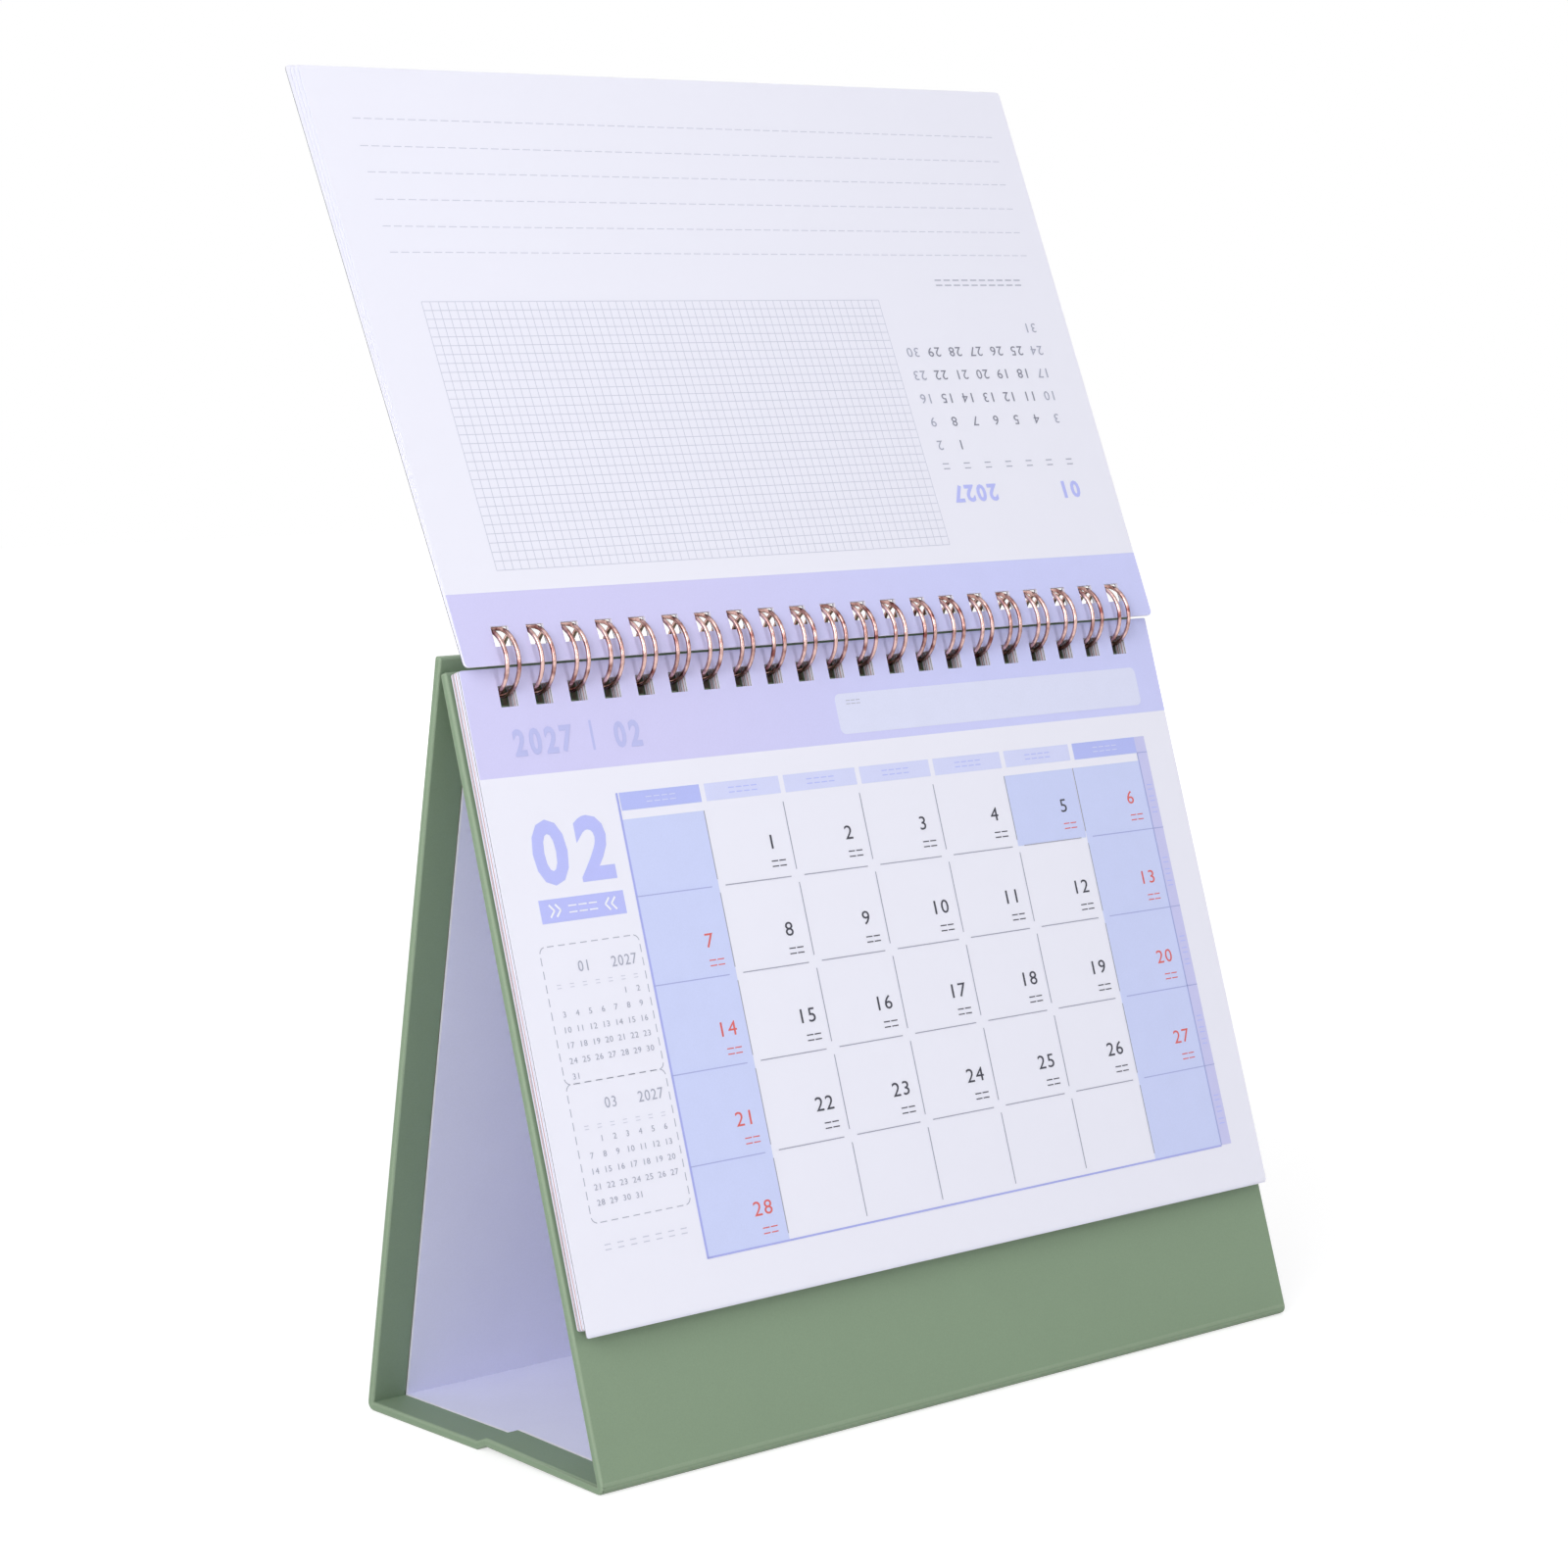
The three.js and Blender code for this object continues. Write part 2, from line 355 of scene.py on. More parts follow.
@dataclass(frozen=True)
class PaperFinish:
    """A sheet of paper or card: matt fibres with a faint cloudiness, which bends light softly.

    grain is the size of the fibre clumps, coarser than real fibres so that they show, and cloud the size
    of the paper's uneven patches, both in millimetres. relief is the depth of the grain in millimetres.
    """

    name: str
    colour: str
    roughness: float = 0.85
    specular: float = 0.3
    grain: float = 0.35
    grain_contrast: float = 0.03
    cloud: float = 14.0
    cloud_contrast: float = 0.03
    gloss_spread: float = 0.06
    relief: float = 0.012
    second_colour: str | None = None
    drift: float = 120.0

    def material(self) -> bpy.types.Material:
        """Build the material: fibre grain over cloudiness, both also in the roughness or the relief."""
        bench = NodeBench(bpy.data.materials.new(self.name))
        spot = bench.add_node("ShaderNodeTexCoord", output="Object")
        fibres = {"Scale": scale_of(self.grain), "Detail": 3.0, "Roughness": 0.6}
        grain = bench.add_node("ShaderNodeTexNoise", fibres, {"Vector": spot})
        patches = {"Scale": scale_of(self.cloud), "Detail": 2.0}
        cloud = bench.add_node("ShaderNodeTexNoise", patches, {"Vector": spot})
        low, high = (shaded(linear(self.colour), 1 + sign * self.cloud_contrast) for sign in (-1, 1))
        tones = {"data_type": "RGBA", MIX_A: low, MIX_B: high}
        tone = bench.add_node("ShaderNodeMix", tones, {MIX_FACTOR: cloud}, MIX_COLOUR)
        if self.second_colour:
            tone = self.drifting(bench, spot, tone)
        specks = {"From Min": 0.3, "From Max": 0.7, "To Min": 1 - self.grain_contrast, "To Max": 1.0}
        speck = bench.add_node("ShaderNodeMapRange", specks, {"Value": grain})
        multiply = {"data_type": "RGBA", "blend_type": "MULTIPLY", MIX_FACTOR: 1.0}
        tinted = bench.add_node("ShaderNodeMix", multiply, {MIX_A: tone, MIX_B: speck}, MIX_COLOUR)
        dull = min(1.0, self.roughness + self.gloss_spread)
        gloss = {"To Min": self.roughness - self.gloss_spread, "To Max": dull}
        rough = bench.add_node("ShaderNodeMapRange", gloss, {"Value": cloud})
        relief = {"Strength": 0.6, "Distance": self.relief * MM}
        bump = bench.add_node("ShaderNodeBump", relief, {"Height": grain})
        shader = bench.add_node(
            "ShaderNodeBsdfPrincipled",
            {"IOR": 1.47, "Specular IOR Level": self.specular},
            {"Base Color": tinted, "Roughness": rough, "Normal": bump},
        )
        return bench.close("ShaderNodeOutputMaterial", shader)

    def drifting(self, bench: NodeBench, spot: Socket, tone: Socket) -> Socket:
        """Let the colour drift from side to side of the sheet towards the second colour.

        Args:
            bench: The material's tree.
            spot: Where a point of the sheet is.
            tone: The colour so far.

        Returns:
            The colour with the drift in it.
        """
        across = bench.add_node("ShaderNodeSeparateXYZ", None, {"Vector": spot}, "X")
        right, left = self.drift * MM / 2, -self.drift * MM / 2
        sweep = {"From Min": right, "From Max": left, "interpolation_type": "SMOOTHSTEP"}
        share = bench.add_node("ShaderNodeMapRange", sweep, {"Value": across})
        second = {"data_type": "RGBA", MIX_B: linear(self.second_colour)}
        return bench.add_node("ShaderNodeMix", second, {MIX_FACTOR: share, MIX_A: tone}, MIX_COLOUR)


@dataclass(frozen=True)
class GreyBoardFinish:
    """Grey board: pressed waste paper, dull and coarse, with darker and lighter flecks of fibre."""

    name: str = "grey_board"
    colour: str = "#A39A8B"
    fleck: float = 0.9
    relief: float = 0.05

    def material(self) -> bpy.types.Material:
        """Build the material: flecks of fibre in the colour and a coarse relief."""
        bench = NodeBench(bpy.data.materials.new(self.name))
        spot = bench.add_node("ShaderNodeTexCoord", output="Object")
        pulp = {"Scale": scale_of(self.fleck), "Detail": 5.0, "Roughness": 0.75}
        flecks = bench.add_node("ShaderNodeTexNoise", pulp, {"Vector": spot})
        share = bench.add_node("ShaderNodeMapRange", {"From Min": 0.35, "From Max": 0.65}, {"Value": flecks})
        dark, pale = (shaded(linear(self.colour), level) for level in (0.75, 1.15))
        tones = {"data_type": "RGBA", MIX_A: dark, MIX_B: pale}
        tone = bench.add_node("ShaderNodeMix", tones, {MIX_FACTOR: share}, MIX_COLOUR)
        bump = bench.add_node("ShaderNodeBump", {"Distance": self.relief * MM}, {"Height": flecks})
        dull = {"Roughness": 0.92, "Specular IOR Level": 0.2}
        shader = bench.add_node("ShaderNodeBsdfPrincipled", dull, {"Base Color": tone, "Normal": bump})
        return bench.close("ShaderNodeOutputMaterial", shader)


@dataclass(frozen=True)
class LacqueredWireFinish:
    """Drawn steel wire under rose-gold lacquer: bright, with fine drawing marks and a hard gloss.

    mark is the width of the drawing marks in millimetres, drawn coarser than real ones so that they show,
    and patch the size of the patches in which the pale colour gives way to a painted dark reflection, as
    painted highlights and dark reflections along the wire. scratch is the depth of the marks.
    """

    name: str = "rose_gold_wire"
    colour: str = "#DDB9B2"
    # The second colour is a painted dark reflection, mixed into the pale colour in patches.
    worn_colour: str = "#7C4541"
    edge_tint: str = "#1C0807"
    roughness: Span = (0.08, 0.21)
    mark: float = 0.12
    patch: float = 2.2
    scratch: float = 0.004

    def material(self) -> bpy.types.Material:
        """Build the material: patches of painted highlight and painted dark reflection, drawing marks in the
        gloss and the relief.
        """
        bench = NodeBench(bpy.data.materials.new(self.name))
        spot = bench.add_node("ShaderNodeTexCoord", output="Object")
        patches, marks = (
            bench.add_node("ShaderNodeTexNoise", {"Scale": scale_of(size), "Detail": 2.0}, {"Vector": spot})
            for size in (self.patch, self.mark)
        )
        # Noise patches mix the pale colour with the painted dark reflection: painted highlights and dark
        # reflections along the wire.
        share = bench.add_node("ShaderNodeMapRange", {"From Min": 0.4, "From Max": 0.7}, {"Value": patches})
        tones = {"data_type": "RGBA", MIX_A: linear(self.colour), MIX_B: linear(self.worn_colour)}
        tone = bench.add_node("ShaderNodeMix", tones, {MIX_FACTOR: share}, MIX_COLOUR)
        gloss = {"To Min": self.roughness[0], "To Max": self.roughness[1]}
        rough = bench.add_node("ShaderNodeMapRange", gloss, {"Value": marks})
        relief = {"Strength": 0.3, "Distance": self.scratch * MM}
        bump = bench.add_node("ShaderNodeBump", relief, {"Height": marks})
        lacquer = {"Specular Tint": linear(self.edge_tint), "Coat Weight": 0.2, "Coat Roughness": 0.06}
        shader = bench.add_node(
            "ShaderNodeBsdfPrincipled",
            {"Metallic": 1.0, **lacquer},
            {"Base Color": tone, "Roughness": rough, "Normal": bump},
        )
        return bench.close("ShaderNodeOutputMaterial", shader)


def paper(finish: PaperFinish) -> bpy.types.Material:
    """The material of a paper finish, built once."""
    return bpy.data.materials.get(finish.name) or finish.material()


class Ink(Enum):
    """The inks on the leaves, each with its colour on the paper."""

    BAND = "#CFD2FC"
    BOX = "#DFE2FA"
    TITLE = "#BEC1EF"
    WEEKDAY = "#D6DAFB"
    WEEKEND_DAY = "#B8C0F8"
    WEEKEND = "#CDD5FA"
    STRIP = "#CCCCF3"
    FRAME = "#ABB1EE"
    HEADING = "#BCC1FA"
    RULE = "#A5A6B8"
    FIELD_RULE = "#A7AEE0"
    DAY = "#4C4C57"
    GREY_DAY = "#8E8F9E"
    HOLIDAY = "#DE6E6B"
    FAINT = "#B0B2C4"
    GRAPH = "#CCCEDF"
    WHITE = "#F2F3FC"

    def material(self) -> bpy.types.Material:
        """The ink's finish: it lies in the paper's surface, so it shares the paper's grain."""
        name = self.name.lower() + "_ink"
        second = "#D3D0F7" if self is Ink.BAND else None
        look = {"roughness": 0.78, "cloud": 5.0, "cloud_contrast": 0.02, "second_colour": second}
        return paper(PaperFinish(name, self.value, **look))


# The cover's paper is painted a little paler round its rims, as a painted highlight along the folds.
COVER_LOOK = {"roughness": 0.6, "specular": 0.4, "grain": 0.3, "grain_contrast": 0.07}
COVER_PAPER = PaperFinish("sage_cover_paper", "#84997F", **COVER_LOOK)
COVER_RIM_HIGHLIGHT = PaperFinish("sage_cover_rim_highlight", "#8C9F86", **COVER_LOOK)
LINER_PAPER = PaperFinish("lavender_liner_paper", "#E5E6FD", grain=0.4, grain_contrast=0.03)
LINER_CUT = PaperFinish("liner_cut_edge", "#F4F4FB")
LEAF_PAPER = PaperFinish("leaf_paper", "#EDEFFD", roughness=0.82, grain_contrast=0.015, cloud_contrast=0.01)
LEAF_REAR = PaperFinish("leaf_paper_rear", "#E4E5EF", roughness=0.82, grain_contrast=0.015)
LEAF_TINTED_EDGE = PaperFinish("leaf_tinted_edge", "#C98F8C")
# A grey cut edge: painted shade between the sheets of the stack.
LEAF_PAINTED_SHADE_EDGE = PaperFinish("leaf_edge_painted_shade", "#9C989E")
LEAF_SHADED_EDGE = PaperFinish("leaf_shaded_edge", "#5E5E66")


# Places on the stand


@dataclass(frozen=True)
class SidePanel:
    """A flat panel of the side view, in (y, z) millimetres, whose depth is counted inwards."""

    start: Vector
    along: Vector
    inward: Vector

    @classmethod
    def leaning(cls, start: Vector, lean: float) -> SidePanel:
        """A panel that rises from its start and leans back by an angle."""
        return cls(start, Vector((math.sin(lean), math.cos(lean))), Vector((math.cos(lean), -math.sin(lean))))

    def at(self, distance: float, depth: float) -> Vector:
        """The point at a distance along the panel and a depth inside it."""
        return self.start + self.along * distance + self.inward * depth

    def position(self, point: Vector) -> Vector:
        """How far along the panel and how deep inside it a point of the side view is."""
        offset = point - self.start
        return Vector((offset.dot(self.along), offset.dot(self.inward)))

    def place(self, distance: float, depth: float) -> Matrix:
        """Where flat work goes: its X stays X, its Y runs up the panel and its Z points outwards.

        Args:
            distance: How far along the panel the flat work's origin lies, in millimetres.
            depth: How deep inside the panel it lies, in millimetres.

        Returns:
            The matrix from flat work in millimetres to the frame in metres.
        """
        origin = self.at(distance, depth)
        rows = (
            (1.0, 0.0, 0.0, 0.0),
            (0.0, self.along.x, -self.inward.x, origin.x),
            (0.0, self.along.y, -self.inward.y, origin.y),
            (0.0, 0.0, 0.0, 1.0),
        )
        return Matrix.Scale(MM, 4) @ Matrix(rows)


@dataclass(frozen=True)
class CalendarSizes:
    """The driving sizes of the solids in millimetres, and the places that follow from them.

    raised_lifts are how far the raised leaf's left and right far corners stand forward, raised_fan how
    far those of the rearmost leaf lie behind them, and raised_side_fan how far its far edge lies aside.
    """

    leaf_width: float = 190.0
    leaf_height: float = 128.0
    stand_overhang: float = 1.0
    leaf_end_margin: float = 10.0
    front_slant: float = 159.0
    base_depth: float = 78.0
    front_lean: float = math.radians(17.0)
    back_rise: float = 3.0
    ridge_gap: float = 0.3
    case_thickness: float = 1.8
    loop_pitch: float = 25.4 / 3
    wire_diameter: float = 0.9
    ring_radius: float = 6.6
    leg_spacing: float = 2.9
    ring_ahead: float = 0.5
    ring_above: float = 1.0
    base_bend_depth: float = 1.3
    seam_clearance: float = 0.15
    seam_overlap: float = 2.7
    hole_size: float = 4.2
    hole_margin: float = 3.2
    hole_clearance: float = 0.3
    front_stack: float = 3.0
    front_stack_gap: float = 0.3
    raised_stack: float = 0.6
    raised_lean: float = math.radians(23.7)
    raised_stand_off: float = 5.0
    raised_lifts: Span = (-2.0, 2.6)
    raised_fan: Span = (0.7, 2.8)
    raised_side_fan: float = -3.0

    @property
    def stand_width(self) -> float:
        """The width of the boards, a little more than the leaves'."""
        return self.leaf_width + 2 * self.stand_overhang

    @property
    def wire_radius(self) -> float:
        """Half the wire's diameter."""
        return self.wire_diameter / 2

    @property
    def front_panel(self) -> SidePanel:
        """The front board, which leans back from the front fold."""
        return SidePanel.leaning(Vector((-self.base_depth / 2, 0.0)), self.front_lean)

    @property
    def back_panel(self) -> SidePanel:
        """The back board, whose inner face meets the front board's rear top corner."""
        rear_fold = Vector((self.base_depth / 2, 0.0))
        reach = rear_fold - self.front_panel.at(self.front_slant, self.case_thickness)
        depth_share = (self.case_thickness + self.ridge_gap) / reach.length
        lean = math.acos(depth_share) - math.atan2(-reach.y, reach.x)
        along = Vector((-math.sin(lean), math.cos(lean)))
        return SidePanel(rear_fold, along, Vector((-math.cos(lean), -math.sin(lean))))

    @property
    def back_slant(self) -> float:
        """The back board's length, which rises a little above the front board."""
        return (self.front_panel.at(self.front_slant, 0.0).y + self.back_rise) / self.back_panel.along.y

    @property
    def ring_centre(self) -> Vector:
        """The centre of the wire's ring in the side view."""
        return self.front_panel.at(self.front_slant + self.ring_above, -self.ring_ahead)

    def loop_places(self) -> list[float]:
        """Where each loop's middle lies across, as many as fit between the leaves' end margins."""
        count = math.floor((self.leaf_width - 2 * self.leaf_end_margin) / self.loop_pitch) + 1
        return [(loop - (count - 1) / 2) * self.loop_pitch for loop in range(count)]

    def front_leaf_place(self, depth: float = 0.0) -> LeafPlace:
        """Where a front leaf lies, by the depth of its front face below the top leaf's."""
        outer = -self.front_stack_gap - self.front_stack
        ring = self.front_panel.position(self.ring_centre)
        farthest = max(abs(outer - ring.y), abs(-self.front_stack_gap - ring.y))
        drop = math.sqrt((self.ring_radius - self.wire_radius) ** 2 - farthest**2)
        leaf_top = ring.x - drop + self.hole_clearance + self.hole_margin
        return LeafPlace(self.front_panel, leaf_top - self.leaf_height, outer + depth)

    def raised_leaf_place(self, depth: float = 0.0) -> LeafPlace:
        """Where a raised leaf stands, by its depth below the top leaf's face.

        The leaves twist forward at the right, and those behind fan out to the left and the back.
        """
        offset = Vector((-math.cos(self.raised_lean), math.sin(self.raised_lean))) * self.raised_stand_off
        panel = SidePanel.leaning(self.ring_centre + offset, self.raised_lean)
        reach = (self.ring_radius + self.wire_radius) ** 2 - (self.raised_stand_off - self.raised_stack) ** 2
        far_edge = math.sqrt(reach) + self.hole_clearance
        near_edge = far_edge - self.hole_size - self.hole_margin
        share = depth / self.raised_stack
        lifts = tuple(lift - back * share for lift, back in zip(self.raised_lifts, self.raised_fan))
        shape = (self.leaf_width / 2, self.leaf_height)
        return LeafPlace(panel, near_edge, depth, lifts, self.raised_side_fan * share, shape)


@dataclass(frozen=True)
class LeafPlace:
    """Where flat work on a leaf goes, and how the leaf bends.

    lifts are how far the left and right far corners stand forward of the flat leaf, and lean is how far
    its far edge lies to the side. shape is the leaf's half width and its height.
    """

    panel: SidePanel
    near_edge: float
    depth: float
    lifts: Span = (0.0, 0.0)
    lean: float = 0.0
    shape: Span = (1.0, 1.0)

    def settle(self, obj: Piece) -> None:
        """Bring flat work in millimetres to its place, with the leaf's bend."""
        half_width, height = self.shape
        if any(self.lifts):
            for vertex in obj.data.vertices:
                rise = vertex.co.y / height
                right = (1 + vertex.co.x / half_width) / 2
                vertex.co.z += rise * (self.lifts[0] * (1 - right) + self.lifts[1] * right)
                vertex.co.x += rise * self.lean
        obj.data.transform(self.panel.place(self.near_edge, self.depth))
        obj.data.update()


# Stand


@dataclass
class FoldedStand:
    """The folded stand: one cover sheet round four boards, with a liner on its inside.

    The front half of the base isn't quite flat: it rises from the front fold to the crease, where a small
    step shows. The liner is pasted a little closer to the rims than its solid.
    """

    sizes: CalendarSizes
    rim_radius: float = 0.5
    smooth_angle: float = math.radians(32.0)
    reach: float = 0.02
    weld: float = 0.002
    edge_reach: float = 0.1
    turn_in_edge: float = 87.0
    liner_edge: float = 86.7
    liner_growth: float = 1.0
    cut_width: float = 0.35
    crease_step: float = 1.25
    base_top: float = 2.6

    def build(self, nodes: dict[str, Piece]) -> None:
        """Build the cover and the liner round their solids, and dress the boards.

        Args:
            nodes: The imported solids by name.
        """
        self.cover(nodes["cover_wrap"])
        self.liner(nodes["liner"])
        board = GreyBoardFinish().material()
        for name in ("front_board", "back_board", "base_rear_board"):
            nodes[name].data.materials.clear()
            nodes[name].data.materials.append(board)
        lifted = self.copy_of(nodes["base_front_board"], "lifted_base_board", board)
        self.lift_base(lifted)
        finished(lifted, STAND_BODY, "grey_board", "base_front_board")

    def cover(self, node: Piece) -> None:
        """The wrapped cover, with the paper turned round the boards' rims in a small radius."""
        obj = self.copy_of(node, "wrapped_cover", paper(COVER_PAPER), paper(COVER_RIM_HIGHLIGHT))
        edit(obj)
        select_where(obj, Part.EDGES, self.on_rim)
        # The bevel faces take the second material, a paler green that is a painted highlight on the rims.
        bpy.ops.mesh.bevel(
            offset=self.rim_radius * MM,
            offset_type="OFFSET",
            segments=3,
            affect="EDGES",
            clamp_overlap=False,
            material=1,
        )
        leave_edit()
        self.grow(obj, self.turn_in_edge)
        cut_across(obj, (0.0, 1.0, 0.0), self.crease, MM)
        self.lift_base(obj)
        make_active(obj)
        bpy.ops.object.shade_smooth_by_angle(angle=self.smooth_angle)
        apply_modifier(obj, "WEIGHTED_NORMAL", keep_sharp=True, weight=100)
        finished(obj, STAND_BODY, "cover_paper", "cover_wrap")

    def liner(self, node: Piece) -> None:
        """The liner, with a pale strip along its cut sides."""
        obj = self.copy_of(node, "pasted_liner", paper(LINER_PAPER), paper(LINER_CUT))
        self.grow(obj, self.liner_edge)
        border = self.liner_edge + self.liner_growth - self.cut_width
        cut_across(obj, (1.0, 0.0, 0.0), (-border, border), MM)
        cut_across(obj, (0.0, 1.0, 0.0), self.crease, MM)
        self.lift_base(obj)
        for polygon in obj.data.polygons:
            if abs(polygon.center.x) > border * MM:
                polygon.material_index = 1
        finished(obj, STAND_BODY, "liner_paper", "liner")

    @property
    def crease(self) -> Span:
        """Where the base's two boards end at the crease, in millimetres from front to rear."""
        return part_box("base_front_board")[1].y / MM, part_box("base_rear_board")[0].y / MM

    def lift_base(self, obj: Piece) -> None:
        """Lift the front half of the base towards its crease, and let it fall again across the crease."""
        front_fold = -self.sizes.base_depth / 2
        crease_front, crease_rear = self.crease
        for vertex in obj.data.vertices:
            y = vertex.co.y / MM
            rise = (y - front_fold) / (crease_front - front_fold)
            fall = (crease_rear - y) / (crease_rear - crease_front)
            if vertex.co.z / MM < self.base_top:
                vertex.co.z += max(0.0, min(rise, fall, 1.0)) * self.crease_step * MM
        obj.data.update()

    def grow(self, obj: Piece, edge: float) -> None:
        """Move the vertices at one distance from the middle outwards by the liner's growth.

        Args:
            obj: The cover or the liner.
            edge: The distance across from the middle, in millimetres.
        """
        for vertex in obj.data.vertices:
            if abs(abs(vertex.co.x) / MM - edge) < self.edge_reach:
                vertex.co.x += math.copysign(self.liner_growth * MM, vertex.co.x)
        obj.data.update()

    def copy_of(self, node: Piece, name: str, *materials: bpy.types.Material) -> Piece:
        """Copy a solid into a piece of its own, with its triangles merged into flat faces.

        Args:
            node: The solid.
            name: The piece's name.
            *materials: The materials that it takes.

        Returns:
            The piece.
        """
        obj = bpy.data.objects.new(name, node.data.copy())
        bpy.context.scene.collection.objects.link(obj)
        obj.data.materials.clear()
        edit(obj)
        bpy.ops.mesh.remove_doubles(threshold=self.weld * MM)
        bpy.ops.mesh.dissolve_limited(angle_limit=math.radians(1.0))
        leave_edit()
        for material in materials:
            obj.data.materials.append(material)
        return named(obj, name)

    def on_rim(self, edge: bmesh.types.BMEdge) -> bool:
        """Whether an edge runs round the stand's sides or along the top of a board."""
        sizes = self.sizes
        if all(abs(vertex.co.x) / MM > sizes.stand_width / 2 - self.reach for vertex in edge.verts):
            return True
        for panel, slant in ((sizes.front_panel, sizes.front_slant), (sizes.back_panel, sizes.back_slant)):
            points = [panel.position(Vector((v.co.y, v.co.z)) / MM) for v in edge.verts]
            if all(abs(point.x - slant) < self.reach for point in points):
                return True
        return False


# Binding wire


@dataclass
class BindingWire:
    """The twin-loop wire: laid out flat as a comb, then rolled into a ring."""

    sizes: CalendarSizes
    leg_steps: int = 32
    tip_steps: int = 10
    base_steps: int = 6
    roundness: int = 4
    smooth_angle: float = math.radians(40.0)

    def build(self) -> None:
        """Model one loop, copy it along the row, weld the wire and roll it onto its ring."""
        wire = row_of(self.flat_loop(), self.sizes.loop_places(), "rose_gold_binding_wire")
        edit(wire)
        bpy.ops.mesh.remove_doubles(threshold=self.sizes.wire_diameter / 100)
        bpy.ops.mesh.select_all(action="SELECT")
        bpy.ops.mesh.fill_holes(sides=0)
        face_outward()
        leave_edit()
        self.roll(wire)
        make_active(wire)
        bpy.ops.object.shade_smooth_by_angle(angle=self.smooth_angle)
        wire.data.materials.append(LacqueredWireFinish().material())
        finished(wire, STAND_BODY, "copper_wire", "binding_wire")

    def flat_path(self) -> list[Span]:
        """The path of one loop, from the middle of one base bend to the middle of the next.

        Returns:
            Points of (x, distance round the ring) in millimetres.
        """
        sizes = self.sizes
        half = sizes.leg_spacing / 2
        span = (sizes.loop_pitch - sizes.leg_spacing) / 2
        length = 2 * math.pi * sizes.ring_radius - sizes.seam_overlap
        base = []
        for step in range(self.base_steps):
            angle = math.pi / 2 * step / self.base_steps
            base.append((half + span * (1 - math.cos(angle)), -sizes.base_bend_depth * math.sin(angle)))
        base.append((half + span, -sizes.base_bend_depth))
        leg = [(half, length * step / self.leg_steps) for step in range(1, self.leg_steps + 1)]
        angles = [math.pi * step / self.tip_steps for step in range(1, self.tip_steps)]
        tip = [(half * math.cos(angle), length + half * math.sin(angle)) for angle in angles]
        right = leg[::-1] + base
        left = [(-x, distance) for x, distance in reversed(right)]
        return left + tip[::-1] + right

    def flat_loop(self) -> Piece:
        """One loop as a round wire that lies flat, open where it meets its neighbours."""
        bpy.ops.object.select_all(action="DESELECT")
        bpy.ops.curve.primitive_bezier_curve_add()
        obj = bpy.context.object
        curve = obj.data
        curve.splines.clear()
        points = self.flat_path()
        spline = curve.splines.new("POLY")
        spline.points.add(len(points) - 1)
        for point, (x, distance) in zip(spline.points, points):
            point.co = (x, distance, 0.0, 1.0)
        curve.dimensions = "3D"
        curve.bevel_depth = self.sizes.wire_radius
        curve.bevel_resolution = self.roundness
        curve.use_fill_caps = False
        make_active(obj)
        bpy.ops.object.convert(target="MESH")
        return bpy.context.object

    def roll(self, wire: Piece) -> None:
        """Roll the flat comb onto the ring, so that its seam lies inside the stand."""
        sizes = self.sizes
        along = sizes.front_panel.along
        depth = sizes.case_thickness + sizes.ring_ahead
        seam = math.atan2(-along.y, -along.x) + math.asin(depth / sizes.ring_radius)
        seam += sizes.seam_clearance / sizes.ring_radius
        centre = sizes.ring_centre
        for vertex in wire.data.vertices:
            angle = seam - vertex.co.y / sizes.ring_radius
            radius = sizes.ring_radius + vertex.co.z
            y = centre.x + radius * math.cos(angle)
            z = centre.y + radius * math.sin(angle)
            vertex.co = Vector((vertex.co.x, y, z)) * MM
        wire.data.update()


# Leaves


